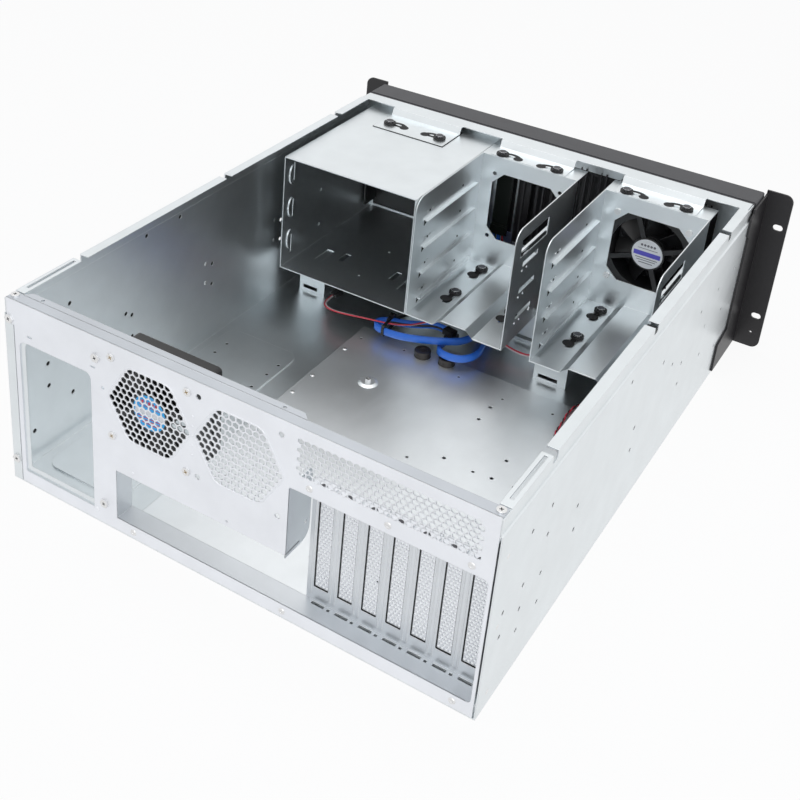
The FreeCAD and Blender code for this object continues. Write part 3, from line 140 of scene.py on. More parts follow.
world = bpy.data.worlds.new("studio")
world.use_nodes = True
scene.world = world
tree = world.node_tree
plain = tree.nodes["Background"]
plain.inputs["Color"].default_value = (0.80, 0.83, 0.88, 1.0)
plain.inputs["Strength"].default_value = 0.55
ray = tree.nodes.new("ShaderNodeLightPath").outputs
direct = maths(tree, "MAXIMUM", ray["Is Camera Ray"], ray["Is Transmission Ray"])
shown_by(tree, maths(tree, "MAXIMUM", direct, ray["Is Glossy Ray"]), plain.outputs["Background"],
         glowing(tree, "ShaderNodeBackground", WHITE, 1.0), "World Output")


def soft_lamp(name, place, aim, width, height, power):
    """A rectangular lamp at place that points at aim."""
    data = bpy.data.lights.new(name, "AREA")
    data.shape = "RECTANGLE"
    data.size = width
    data.size_y = height
    data.energy = power
    lamp = bpy.data.objects.new(name, data)
    lamp.location = place
    lamp.rotation_euler = (Vector(aim) - Vector(place)).to_track_quat("-Z", "Y").to_euler()
    scene.collection.objects.link(lamp)


soft_lamp("lamp_overhead", (0.1, 0.2, 1.9), (0, 0, 0), 1.6, 1.6, 12)
soft_lamp("lamp_viewer", (-0.9, 2.0, 1.1), (0, 0.1, 0.05), 1.4, 1.2, 9)
soft_lamp("lamp_right", (-2.1, -0.1, 1.2), (0, 0, 0.05), 1.2, 1.4, 6)


# ---------------------------------------------------------------- zinc-coated steel sheet
# The body, tray and cages are cold-rolled steel with a thin zinc coat: pale blue-grey, half
# mirror, with faint rolling lines, a slightly cloudy gloss and a painted highlight on cut edges.
SHEET_RELIEF, EDGE_WIDTH = 0.00002, 0.0007


def noise(tree, scale, detail, place):
    """A cloud of grey values."""
    node = tree.nodes.new("ShaderNodeTexNoise")
    node.inputs["Scale"].default_value = scale
    node.inputs["Detail"].default_value = detail
    joined(tree, place, node.inputs["Vector"])
    return node.outputs["Fac"]


def ranged(tree, source, low, high, start=0.0, stop=1.0):
    """Maps a value from start..stop to low..high."""
    node = tree.nodes.new("ShaderNodeMapRange")
    node.inputs["From Min"].default_value = start
    node.inputs["From Max"].default_value = stop
    node.inputs["To Min"].default_value = low
    node.inputs["To Max"].default_value = high
    joined(tree, source, node.inputs["Value"])
    return node.outputs["Result"]


def blended(tree, mode, factor, first, second):
    """A colour mix; factor, first and second are sockets or values."""
    node = tree.nodes.new("ShaderNodeMix")
    node.data_type = "RGBA"
    node.blend_type = mode
    for socket, value in (("Factor", factor), ("A", first), ("B", second)):
        target = [entry for entry in node.inputs if entry.name == socket
                  and entry.type == ("VALUE" if socket == "Factor" else "RGBA")][0]
        if isinstance(value, (int, float)):
            target.default_value = value
        elif isinstance(value, tuple):
            target.default_value = (*value, 1.0)
        else:
            joined(tree, value, target)
    return [entry for entry in node.outputs if entry.type == "RGBA"][0]


def rolled_sheet_group():
    """Node group: tone, roughness, height, edge normal and edge mask of coated sheet; the mask
    paints a highlight on the edges.
    """
    group = bpy.data.node_groups.new("rolled_sheet", "ShaderNodeTree")
    face = group.interface
    for name, kind in (("Roughness", "Float"), ("Tone", "Color"), ("Highlight", "Float")):
        face.new_socket(name, in_out="INPUT", socket_type="NodeSocket" + kind)
    for name, kind in (("Colour", "Color"), ("Roughness", "Float"), ("Height", "Float"),
                       ("Normal", "Vector"), ("Edge", "Float")):
        face.new_socket(name, in_out="OUTPUT", socket_type="NodeSocket" + kind)
    source = group.nodes.new("NodeGroupInput")
    sink = group.nodes.new("NodeGroupOutput")
    place = group.nodes.new("ShaderNodeTexCoord").outputs["Object"]
    cloud = noise(group, 9.0, 4.0, place)
    smear = noise(group, 42.0, 5.0, place)
    speck = noise(group, 900.0, 3.0, place)
    stretch = group.nodes.new("ShaderNodeMapping")
    stretch.inputs["Scale"].default_value = (1.0, 0.035, 1.0)
    joined(group, place, stretch.inputs["Vector"])
    lines = noise(group, 700.0, 2.0, stretch.outputs["Vector"])
    rim = group.nodes.new("ShaderNodeBevel")
    rim.samples = 4
    rim.inputs["Radius"].default_value = EDGE_WIDTH
    flat = group.nodes.new("ShaderNodeNewGeometry")
    facing = group.nodes.new("ShaderNodeVectorMath")
    facing.operation = "DOT_PRODUCT"
    joined(group, rim.outputs["Normal"], facing.inputs[0])
    joined(group, flat.outputs["Normal"], facing.inputs[1])
    # The edge mask mixes the colour towards near-white where the Bevel normal bends: a painted
    # highlight on the cut edges, on top of the rounded normal that catches real light.
    edge = maths(group, "MULTIPLY", ranged(group, facing.outputs["Value"], 1.0, 0.0, 0.80, 0.985),
                 source.outputs["Highlight"])
    shade = ranged(group, maths(group, "ADD", cloud, smear), 0.93, 1.05, 0.5, 1.5)
    colour = blended(group, "MULTIPLY", 1.0, source.outputs["Tone"], shade)
    joined(group, blended(group, "MIX", edge, colour, (0.93, 0.95, 0.96)), sink.inputs["Colour"])
    gloss = maths(group, "ADD", ranged(group, cloud, -0.05, 0.06),
                  ranged(group, lines, -0.04, 0.05))
    joined(group, maths(group, "ADD", gloss, source.outputs["Roughness"]), sink.inputs["Roughness"])
    joined(group, maths(group, "ADD", lines, speck), sink.inputs["Height"])
    joined(group, rim.outputs["Normal"], sink.inputs["Normal"])
    joined(group, edge, sink.inputs["Edge"])
    return group


rolled_sheet = rolled_sheet_group()


def sheet_metal(name, tone, roughness, metallic=1.0, edge_highlight=1.0):
    """A coated sheet finish with its own tone, gloss and painted edge highlight."""
    material, tree, shader = new_material(name)
    surface = tree.nodes.new("ShaderNodeGroup")
    surface.node_tree = rolled_sheet
    surface.inputs["Tone"].default_value = (*tone, 1.0)
    surface.inputs["Roughness"].default_value = roughness
    surface.inputs["Highlight"].default_value = edge_highlight
    joined(tree, surface.outputs["Colour"], shader.inputs["Base Color"])
    joined(tree, surface.outputs["Roughness"], shader.inputs["Roughness"])
    bump = tree.nodes.new("ShaderNodeBump")
    bump.inputs["Distance"].default_value = SHEET_RELIEF
    bump.inputs["Strength"].default_value = 0.3
    joined(tree, surface.outputs["Height"], bump.inputs["Height"])
    joined(tree, surface.outputs["Normal"], bump.inputs["Normal"])
    joined(tree, bump.outputs["Normal"], shader.inputs["Normal"])
    # The sheet is less metallic under the painted edge highlight, so the edges look lighter.
    joined(tree, ranged(tree, surface.outputs["Edge"], metallic, metallic * 0.35),
           shader.inputs["Metallic"])
    return material


zinc_steel = sheet_metal("zinc_steel", (0.76, 0.80, 0.82), 0.33)
tray_steel = sheet_metal("tray_steel", (0.83, 0.86, 0.88), 0.40)


def finish(material, *names):
    """Gives CAD nodes that keep their own shape their finish."""
    for name in names:
        for slot in nodes[name].material_slots:
            slot.material = material


sheet_nodes = ["base_pan", "psu_frame", "slot_panel", "drive_bay_cage", "disk_cage_middle",
               "disk_cage_right", "front_wall"]
sheet_nodes += [name for name in nodes if name.startswith(("cage_foot_", "slot_cover_"))]
finish(zinc_steel, *sheet_nodes)
finish(tray_steel, "motherboard_tray")


# ---------------------------------------------------------------- black and grey finishes
# Ears and mesh are powder-coated black, the front frame is dark grey, fans and covers are
# moulded black plastic, the mounts are soft black rubber and the screws plated steel.
def coated(name, colour, roughness, grain, relief, metallic=0.0):
    """A painted, moulded or rubber surface with a fine even grain."""
    material, tree, shader = new_material(name)
    place = tree.nodes.new("ShaderNodeTexCoord").outputs["Object"]
    texture = noise(tree, grain, 3.0, place)
    joined(tree, ranged(tree, texture, roughness - 0.06, roughness + 0.06),
           shader.inputs["Roughness"])
    bump = tree.nodes.new("ShaderNodeBump")
    bump.inputs["Distance"].default_value = relief
    bump.inputs["Strength"].default_value = 0.5
    joined(tree, texture, bump.inputs["Height"])
    rim = tree.nodes.new("ShaderNodeBevel")
    rim.samples = 3
    rim.inputs["Radius"].default_value = 0.0005
    joined(tree, rim.outputs["Normal"], bump.inputs["Normal"])
    joined(tree, bump.outputs["Normal"], shader.inputs["Normal"])
    shade = ranged(tree, noise(tree, 60.0, 2.0, place), 0.85, 1.15)
    joined(tree, blended(tree, "MULTIPLY", 1.0, colour, shade), shader.inputs["Base Color"])
    shader.inputs["Metallic"].default_value = metallic
    return material


black_metal = coated("black_metal", (0.012, 0.011, 0.013), 0.42, 2200, 0.00004)
grey_frame = coated("grey_frame", (0.055, 0.055, 0.060), 0.5, 2200, 0.00004)
black_plastic = coated("black_plastic", (0.010, 0.010, 0.011), 0.35, 1500, 0.00003)
black_rubber = coated("black_rubber", (0.008, 0.008, 0.009), 0.55, 900, 0.00003)
finish(black_metal, "ear_left", "ear_right", "front_mesh")
finish(grey_frame, "bezel_frame", "front_door")
finish(black_plastic, "rear_fan_frame", "rear_fan_rotor", "front_fan_frame", "front_fan_rotor",
       "control_panel", "power_button", "reset_button", "hinge_blocks",
       "bay_cover_1", "bay_cover_2", "bay_cover_3", "cable_plugs", "cable_tie")
finish(black_rubber, "tab_rubbers", "middle_cage_rubbers", "right_cage_rubbers", "cable_rests")
bright_screw = sheet_metal("bright_screw", (0.78, 0.78, 0.78), 0.28)
dark_screw = sheet_metal("dark_screw", (0.10, 0.10, 0.11), 0.35)
finish(bright_screw, "standoff", "psu_screws", "lid_screws", "rear_fan_screws", "front_fan_screws",
       "hinge_pins", "door_lock")
finish(dark_screw, "tab_screws", "middle_cage_screws", "right_cage_screws")


# ---------------------------------------------------------------- leads and their bundle
# Two flat blue cables, the fan's red and white lead and a twisted red and black pair. They
# leave the control board or the fan, run under the cages and come out at the tied bundle.
MM = 0.001
rear_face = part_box("base_pan")[1].y
TRAY_TOP = 5
blue_jacket = coated("blue_jacket", (0.03, 0.17, 0.72), 0.32, 500, 0.00002)
red_wire = coated("red_wire", (0.58, 0.03, 0.06), 0.35, 900, 0.00002)
white_wire = coated("white_wire", (0.80, 0.66, 0.66), 0.35, 900, 0.00002)
black_wire = coated("black_wire", (0.012, 0.012, 0.012), 0.35, 900, 0.00002)
sleeve_black = coated("sleeve_black", (0.020, 0.020, 0.021), 0.45, 700, 0.00006)
core_brown = coated("core_brown", (0.030, 0.026, 0.024), 0.30, 400, 0.00004, 0.4)
BLUE_CABLE = [(40, -535.4, 66), (40, -535.4, 56.5), (37.5, -532.5, 46), (32.5, -525.5, 35),
              (26.5, -516, 25), (20.5, -504.5, 16), (13.5, -491.5, 10), (6, -477, 6.6),
              (-0.5, -461.5, 5.2), (-4, -446, 5.4), (-4.5, -432, 7.4), (-4.5, -419.5, 11.5),
              (-5.5, -408, 16), (-5.5, -396, 19), (-1.5, -384.8, 20.5), (7.5, -376.5, 21.5),
              (19, -370.3, 21), (33, -365.3, 19.5), (48, -361.2, 18.3), (62, -359.2, 18),
              (73, -359.6, 18), (81.5, -362.5, 18), (83.5, -371, 18), (77, -378, 18),
              (66, -380.4, 19), (54, -382.4, 20.5), (42, -386, 22.5), (32, -389.5, 24.6),
              (23.5, -391, 25), (17, -389.5, 25)]
BLUE_LOOP = [(34, -535.4, 66), (34, -535.4, 56.5), (31, -532, 46), (25.5, -524.5, 35),
             (19, -514.5, 25), (12.5, -503, 16), (5.5, -490, 10), (-2.5, -476, 6.6),
             (-9, -461, 5.2), (-12.5, -446, 5.4), (-13.5, -432, 7.4), (-15.5, -419.5, 11.5),
             (-19, -408, 15.5), (-22.5, -396.5, 17), (-24.3, -384.5, 17), (-22.5, -372.5, 17),
             (-15, -362.8, 17), (-3.5, -359, 17.3), (7.5, -362.5, 16), (14, -371.5, 13),
             (15.6, -382.5, 12), (14.6, -392.5, 12)]
FAN_LEAD = [(-104, -516, 73.7), (-104, -516, 66), (-102.5, -515.4, 57), (-97, -515.5, 46),
            (-88, -516.5, 35), (-78.5, -513.5, 25), (-71.5, -504, 17), (-68.8, -490, 11.5),
            (-68, -474, 9), (-69, -458.5, 8.5), (-69.5, -443, 9.5), (-69, -429, 10.8),
            (-64.5, -417.5, 11.8), (-52.5, -415.6, 12), (-38, -418.5, 12.5), (-24, -419, 16),
            (-10.5, -415.5, 21), (3, -410, 25.5), (15.5, -402.5, 29), (26.5, -394, 30),
            (36.5, -386, 28), (46.8, -378, 24.5), (57.5, -371.5, 23.4), (69.5, -367.3, 22.7),
            (82.5, -364.3, 22.6), (96.5, -362, 22), (110.5, -359.8, 20.8), (124.6, -359.6, 19),
            (137.5, -363, 16.5), (147, -371.5, 14), (151, -383, 12.5), (150.5, -394, 12.5)]
SWITCH_LEAD = [(29.4, -535.4, 66), (29.4, -535.4, 57), (26, -534.5, 47), (18.5, -534, 37),
               (8, -534.5, 28), (-4, -535, 19.5), (-18, -534, 12), (-34, -532.5, 6.5),
               (-52, -533.5, 3.4), (-72, -535, 2.6), (-93, -534, 2.6), (-113, -530, 2.6),
               (-129.5, -520.5, 2.6), (-139.5, -505, 2.6), (-143, -486, 2.6), (-141.5, -466, 2.6),
               (-143.5, -446, 2.6), (-144.5, -426, 2.6), (-141.5, -407, 3), (-138, -390, 5),
               (-131.5, -375, 7.5), (-129.5, -363, 7.2), (-130, -351, 6.6), (-131.5, -339, 6.6),
               (-131.5, -328, 6.6), (-134.5, -317, 6.6), (-140.5, -307.5, 6.6), (-148.5, -301, 6.6)]


def spot(x, y, z):
    """Metres from millimetres: x sideways, y from the rear face (inwards is less), z up."""
    return Vector((x * MM, rear_face + y * MM, z * MM))


def new_piece(name, mesh, material):
    """Links a mesh as a piece that rides on the case."""
    obj = bpy.data.objects.new(name, mesh)
    scene.collection.objects.link(obj)
    for one in material if isinstance(material, tuple) else [material]:
        mesh.materials.append(one)
    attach(obj, "case")
    return obj


def close_mesh(name, build, smooth=False):
    """Turns a filled bmesh into a mesh with outward normals."""
    bmesh.ops.recalc_face_normals(build, faces=build.faces)
    mesh = bpy.data.meshes.new(name)
    build.to_mesh(mesh)
    build.free()
    for face in mesh.polygons:
        face.use_smooth = smooth
    return mesh


def made(name, build, material, smooth=False):
    """Turns a filled bmesh into a piece of the case."""
    return new_piece(name, close_mesh(name, build, smooth), material)


def lathe(build, profile, place, steps=24, slot=0):
    """Adds a turned form: profile is a list of (radius, height) in millimetres."""
    rings = []
    for radius, height in profile:
        angles = [math.tau * step / steps for step in range(steps if radius > 0 else 1)]
        rings.append([build.verts.new(place @ Vector((radius * MM * math.cos(angle),
                                                      radius * MM * math.sin(angle),
                                                      height * MM))) for angle in angles])
    for low, high in zip(rings, rings[1:]):
        for step in range(steps):
            after = (step + 1) % steps
            corners = [low[step % len(low)], low[after % len(low)], high[after % len(high)],
                       high[step % len(high)]]
            corners = [corner for index, corner in enumerate(corners)
                       if corner not in corners[:index]]
            if len(corners) > 2:
                face = build.faces.new(corners)
                face.material_index = slot
                face.smooth = steps > 8


def slab(build, low, high, place=None, slot=0):
    """Adds a box between two points in millimetres, in the case's axes or in place's."""
    place = place or Matrix.Translation(spot(0, 0, 0))
    corners = [build.verts.new(place @ (Vector((x, y, z)) * MM))
               for x in (low[0], high[0]) for y in (low[1], high[1]) for z in (low[2], high[2])]
    for ring in ((0, 1, 3, 2), (4, 6, 7, 5), (0, 4, 5, 1), (2, 3, 7, 6), (0, 2, 6, 4),
                 (1, 5, 7, 3)):
        face = build.faces.new([corners[index] for index in ring])
        face.material_index = slot


def centreline(name, route):
    """The smooth line of a lead: the points of a NURBS curve through its route."""
    curve = bpy.data.curves.new(name, "CURVE")
    curve.dimensions = "3D"
    spline = curve.splines.new("NURBS")
    spline.points.add(len(route) - 1)
    for point, place in zip(spline.points, route):
        point.co = (*spot(*place), 1)
    spline.order_u = 3
    spline.use_endpoint_u = True
    spline.resolution_u = 6
    line = bpy.data.objects.new(name, curve)
    scene.collection.objects.link(line)
    bpy.context.view_layer.update()
    seen = line.evaluated_get(bpy.context.evaluated_depsgraph_get())
    mesh = bpy.data.meshes.new_from_object(seen)
    points = [vertex.co.copy() for vertex in mesh.vertices]
    bpy.data.objects.remove(line)
    bpy.data.meshes.remove(mesh)
    bpy.data.curves.remove(curve)
    return points


def swept(build, path, section, pitch=None, offset=0.0, phase=0.0, widths=None, slot=0):
    """Sweeps a section of (across, up) millimetres along a path, offset and twisted if asked."""
    side = Vector((1, 0, 0))
    travelled = 0.0
    rings = []
    for index, point in enumerate(path):
        ahead = (path[min(index + 1, len(path) - 1)] - path[max(index - 1, 0)]).normalized()
        if index:
            travelled += (point - path[index - 1]).length
        level = ahead.cross(Vector((0, 0, 1)))
        if level.length > 0.35:
            level.normalize()
            side = level if level.dot(side) > 0 else -level
        side = (side - ahead * side.dot(ahead)).normalized()
        up = side.cross(ahead)
        if up.z < 0:
            up = -up
        angle = phase + (math.tau * travelled / (pitch * MM) if pitch else 0.0)
        centre = point + (side * math.cos(angle) + up * math.sin(angle)) * offset * MM
        width = 1.0 if widths is None else widths(index / (len(path) - 1))
        rings.append([build.verts.new(centre + side * a * MM + up * b * width * MM)
                      for a, b in section])
    count = len(section)
    for low, high in zip(rings, rings[1:]):
        for step in range(count):
            face = build.faces.new([low[step], low[(step + 1) % count],
                                    high[(step + 1) % count], high[step]])
            face.smooth = True
            face.material_index = slot
    for ring in (rings[0], rings[-1]):
        build.faces.new(ring).material_index = slot


def round_section(radius, sides):
    """The outline of a round wire."""
    angles = [math.tau * side / sides for side in range(sides)]
    return [(radius * math.cos(angle), radius * math.sin(angle)) for angle in angles]


RIBBON = [(-0.45, -3.2), (0, -3.55), (0.45, -3.2), (0.45, 3.2), (0, 3.55), (-0.45, 3.2)]


def plug_housing(name, route, length, width, height):
    """A connector housing on a lead's free end: a ribbed body with an open mouth."""
    build = bmesh.new()
    last, end = Vector(route[-2]), Vector(route[-1])
    turn = math.atan2(end.y - last.y, end.x - last.x)
    place = Matrix.Translation(spot(*end)) @ Matrix.Rotation(turn, 4, "Z")
    half, high = width / 2 - 0.3, height / 2 - 0.3
    slab(build, (0, -half, -high), (length - 3, half, high), place)
    for side in (-1, 1):
        slab(build, (length - 3, side * half - 0.5, -high), (length, side * half + 0.5, high),
             place)
        slab(build, (length - 3, -half, side * high - 0.3), (length, half, side * high + 0.3),
             place)
    for rib in range(4):
        near = 1.2 + rib * (length - 6) / 3
        slab(build, (near, -half - 0.3, -high - 0.3), (near + 0.7, half + 0.3, high + 0.3), place)
    housing = made(name, build, black_plastic)
    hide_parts("cable_plugs")
    return housing


cable_housing = plug_housing("cable_housing", BLUE_CABLE, 12, 9, 6)
loop_housing = plug_housing("loop_housing", BLUE_LOOP, 13, 10, 6)
fan_housing = plug_housing("fan_housing", FAN_LEAD, 12, 8, 5)
switch_housing = plug_housing("switch_housing", SWITCH_LEAD, 14, 5, 3)


def flat_cable(name, route):
    """Three flat ribbons side by side, gathered where they leave their socket."""
    path = centreline(name, route)
    build = bmesh.new()
    for layer in (-1.25, 0, 1.25):
        swept(build, path, RIBBON, None, layer, 0.0, lambda share: min(1.0, 0.35 + share * 6))
    cable = new_piece(name + "_flat", close_mesh(name, build, True), blue_jacket)
    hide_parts(name)
    return cable, path


def wire_pair(name, route, radius, offset, pitch, phase, materials):
    """Two insulated wires, side by side where the pitch is long and twisted where it isn't."""
    path = centreline(name, route)
    build = bmesh.new()
    for slot in (0, 1):
        swept(build, path, round_section(radius, 8), pitch, offset, phase + math.pi * slot, None,
              slot)
    pair = new_piece(name + "_wires", close_mesh(name, build, True), materials)
    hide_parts(name)
    return pair, path


upper_cable, upper_path = flat_cable("blue_cable", BLUE_CABLE)
outer_cable, outer_path = flat_cable("blue_loop", BLUE_LOOP)
fan_wires, fan_path = wire_pair("fan_lead", FAN_LEAD, 0.78, 0.76, 900, 0.35,
                                (red_wire, white_wire))
switch_wires, switch_path = wire_pair("switch_lead", SWITCH_LEAD, 0.65, 0.55, 15, 0.0,
                                      (red_wire, black_wire))

# The upper cable comes back from its fold inside a flat black sleeve, gathered by the tie.
low, high = spot(17, 0, 17.5), spot(79, -377, 0)
sleeve_path = [point for point in upper_path
               if low.x < point.x < high.x and point.y < high.y and point.z > low.z]
build = bmesh.new()
swept(build, sleeve_path, [(-2.3, -1.1), (2.3, -1.1), (2.6, 0), (2.3, 1.1), (-2.3, 1.1),
                           (-2.6, 0)])
sleeve = made("cable_sleeve", build, sleeve_black, True)

# A nylon strap holds the bundle: its lock is a small ribbed block with the cut tail.
build = bmesh.new()
slab(build, (67.6, -377.5, 26.2), (72.0, -373.0, 30.0))
slab(build, (68.6, -373.2, 27.2), (71.0, -366.0, 28.2))
tie_lock = made("tie_lock", build, black_plastic)

# Two turned rubber discs keep the bundle off the tray.
build = bmesh.new()
for x, y in ((25.8, -362.5), (0.3, -365)):
    lathe(build, [(0, 0), (8.4, 0), (8.5, 0.6), (8.1, 1.4), (8.1, 5.4), (8.3, 6.2), (7.6, 7),
                  (4.4, 7), (4.0, 6.0), (0, 6.0)],
          Matrix.Translation(spot(x, y, TRAY_TOP)), 28)
rests = made("cable_rest_discs", build, core_brown)
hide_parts("cable_rests")


# ---------------------------------------------------------------- rear panel
# One zinc-coated sheet, 1 mm thick: punched fan grilles and vent, openings for the power
# supply, connectors and slots, a folded top flange, and returns folded in round the windows.
panel_steel = sheet_metal("panel_steel", (0.86, 0.88, 0.92), 0.45, 0.85)
# Returns and flange: the same sheet in darker copies of its finish, painted shade.
shaded_fold_steel = sheet_metal("shaded_fold_steel", (0.68, 0.71, 0.74), 0.38, 0.95)
shaded_flange_steel = sheet_metal("shaded_flange_steel", (0.55, 0.58, 0.62), 0.34)
finish(panel_steel, "rear_panel")


def seat(x, y, z, normal=(0, 0, 1)):
    """A matrix at a point in millimetres whose own z looks along normal."""
    turn = Vector(normal).to_track_quat("Z", "Y").to_matrix().to_4x4()
    return Matrix.Translation(spot(x, y, z)) @ turn


def rod(build, radius, low, high, place, steps):
    """Adds a plain round peg or disc between two heights."""
    lathe(build, [(0, low), (radius, low), (radius, high), (0, high)], place, steps)


def rounded(points, steps=5):
    """Replaces (u, v, radius) corners of an outline by short arcs."""
    outline = []
    for index, point in enumerate(points):
        if len(point) == 2:
            outline.append(Vector(point))
            continue
        corner = Vector(point[:2])
        before = (Vector(points[index - 1][:2]) - corner).normalized()
        after = (Vector(points[(index + 1) % len(points)][:2]) - corner).normalized()
        start = corner + before * point[2]
        stop = corner + after * point[2]
        for step in range(steps + 1):
            share = step / steps
            outline.append((1 - share) ** 2 * start + 2 * share * (1 - share) * corner
                           + share ** 2 * stop)
    return outline


def oblong(u, v, width, height, radius=None):
    """A rounded rectangle about (u, v)."""
    radius = min(width, height) / 2 if radius is None else radius
    half_u, half_v = width / 2, height / 2
    loop = rounded([(-half_u, -half_v, radius), (half_u, -half_v, radius),
                    (half_u, half_v, radius), (-half_u, half_v, radius)], 4)
    return [(u + a, v + b) for a, b in loop]


def ring_of(u, v, radius, sides=6, turn=0.0, stretch=1.0):
    """A regular polygon about (u, v)."""
    return [(u + radius * stretch * math.cos(math.tau * side / sides + turn),
             v + radius * math.sin(math.tau * side / sides + turn)) for side in range(sides)]


def punched(name, outline, holes, thickness, axes, level):
    """A flat sheet cut out of its outline and holes, between level and level + thickness.

    axes names the two axes that the outline is given in, and level is the sheet's place
    along the third.
    """
    curve = bpy.data.curves.new(name, "CURVE")
    curve.dimensions = "2D"
    curve.fill_mode = "BOTH"
    curve.extrude = thickness / 2 * MM
    for loop in [outline, *holes]:
        spline = curve.splines.new("POLY")
        spline.points.add(len(loop) - 1)
        for point, (u, v) in zip(spline.points, loop):
            point.co = (u * MM, v * MM, 0, 1)
        spline.use_cyclic_u = True
    flat = bpy.data.objects.new(name, curve)
    scene.collection.objects.link(flat)
    bpy.context.view_layer.update()
    seen = flat.evaluated_get(bpy.context.evaluated_depsgraph_get())
    mesh = bpy.data.meshes.new_from_object(seen)
    bpy.data.objects.remove(flat)
    bpy.data.curves.remove(curve)
    mesh.materials.clear()
    middle = level + thickness / 2
    across, up = [Vector([axis == name for name in "xyz"]) for axis in axes]
    out = across.cross(up)
    mesh.transform(Matrix((across, up, out)).transposed().to_4x4())
    mesh.transform(Matrix.Translation(spot(*[abs(part) * middle for part in out])))
    return mesh


def merge(name, meshes):
    """Joins several meshes into one."""
    build = bmesh.new()
    for mesh in meshes:
        build.from_mesh(mesh)
    whole = bpy.data.meshes.new(name)
    build.to_mesh(whole)
    build.free()
    return whole


def slot_centre(number):
    """Sideways middle of an expansion slot, counted from the left as seen from behind."""
    return SLOT_START - SLOT_PITCH * number


def honeycomb(u, v, pitch, rings):
    """Centres of a hexagonal field of holes."""
    places = []
    for row in range(-rings, rings + 1):
        count = 2 * rings + 1 - abs(row)
        places += [(u + (column - (count - 1) / 2) * pitch, v + row * pitch * math.sqrt(3) / 2)
                   for column in range(count)]
    return places


PANEL_EDGE, STRIP_EDGE, STRIP_TOP, PANEL_TOP = 212.7, 205.3, 153.2, 176
WINDOW_EDGE, FIN_EDGE, RECESS_EDGE = 103.4, -55.4, -210
REAR_FAN = 70.5
GRILLES = (REAR_FAN, -11.3)
GRILLE_LEVEL = 128
SCREW_REACH = 35.75
SLOTS, SLOT_START, SLOT_PITCH = 7, -76.3, 20.32
panel_outline = [(-PANEL_EDGE, 1), (STRIP_EDGE, 1), (STRIP_EDGE, STRIP_TOP),
                 (PANEL_EDGE, STRIP_TOP), (PANEL_EDGE, PANEL_TOP), (-PANEL_EDGE, PANEL_TOP)]
panel_holes = [
    rounded([(RECESS_EDGE, 12.5, 4), (WINDOW_EDGE, 12.5), (WINDOW_EDGE, 60), (FIN_EDGE, 60, 2),
             (FIN_EDGE, 122.5, 2), (RECESS_EDGE, 122.5, 4)]),
    rounded([(126.7, 12.5, 1), (200.7, 12.5, 1), (200.7, 140.5, 7), (126.7, 140.5, 7)])]
for centre in GRILLES:
    panel_holes += [ring_of(u, v, 2.72, 6, math.pi / 6)
                    for u, v in honeycomb(centre, GRILLE_LEVEL, 5.9, 6)]
    panel_holes += [ring_of(centre + u * SCREW_REACH, GRILLE_LEVEL + v * SCREW_REACH, 2.3, 16)
                    for u in (-1, 1) for v in (-1, 1)]
for row in range(8):
    for column in range(25):
        panel_holes.append(ring_of(-62.8 - 5.6 * column - 2.8 * (row % 2), 165.2 - 3.9 * row,
                                   2.36, 6, math.pi / 6, 1.14))
panel_holes += [ring_of(114.9, 132.5, 1.5, 12), oblong(124.5, 147.6, 5, 1.6),
                oblong(189.4, 147.6, 5, 1.6), ring_of(-3.1, 64.5, 1.0, 10)]
plate = punched("rear_plate", panel_outline, panel_holes, 1.0, "xz", -1.0)
broad = punched("rear_broad", [(-61.4, -10), (204.7, -10), (198.7, -16.5), (-55.4, -16.5)],
                [oblong(x, -13.2, 3, 3) for x in (-40, 186)], 1.0, "xy", 175)
fin = punched("rear_fin", rounded([(-0.5, 57), (-31.5, 57, 12), (-31.5, 121.5, 3), (-0.5, 121.5)]),
              [oblong(-25.5, 112, 3, 3), oblong(-25.5, 74, 3, 3)], 1.0, "yz", FIN_EDGE)
ledge_slits = []
for number in range(SLOTS):
    slit = slot_centre(number)
    ledge_slits.append(oblong(slit, -15.6, 11, 2.6, 0.6))
    ledge_slits.append(oblong(slit - 9.2, -15.2, 2.4, 2.2, 0.5))
ledge = punched("rear_ledge", [(RECESS_EDGE, -18.5), (WINDOW_EDGE, -18.5), (WINDOW_EDGE, -0.5),
                               (RECESS_EDGE, -0.5)], ledge_slits, 1.0, "xy", 11.5)
build = bmesh.new()
slab(build, (-PANEL_EDGE, -10.5, 175), (PANEL_EDGE, -0.5, 176))
flange = close_mesh("rear_flange", build)
build = bmesh.new()
slab(build, (WINDOW_EDGE, -18.5, 11.5), (104.4, -0.5, 61))
slab(build, (FIN_EDGE, -18.5, 60), (WINDOW_EDGE, -0.5, 61))
slab(build, (-PANEL_EDGE, -25, 12.5), (-PANEL_EDGE + 1, -0.5, 156))
folds = close_mesh("rear_folds", build)
rear_sheet = new_piece("rear_sheet", plate, panel_steel)
rear_returns = new_piece("rear_returns", merge("rear_returns", [fin, ledge, folds]), shaded_fold_steel)
rear_flange = new_piece("rear_flange", merge("rear_flange", [broad, flange]), shaded_flange_steel)
for sheet in (rear_sheet, rear_returns, rear_flange):
    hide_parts("rear_panel")

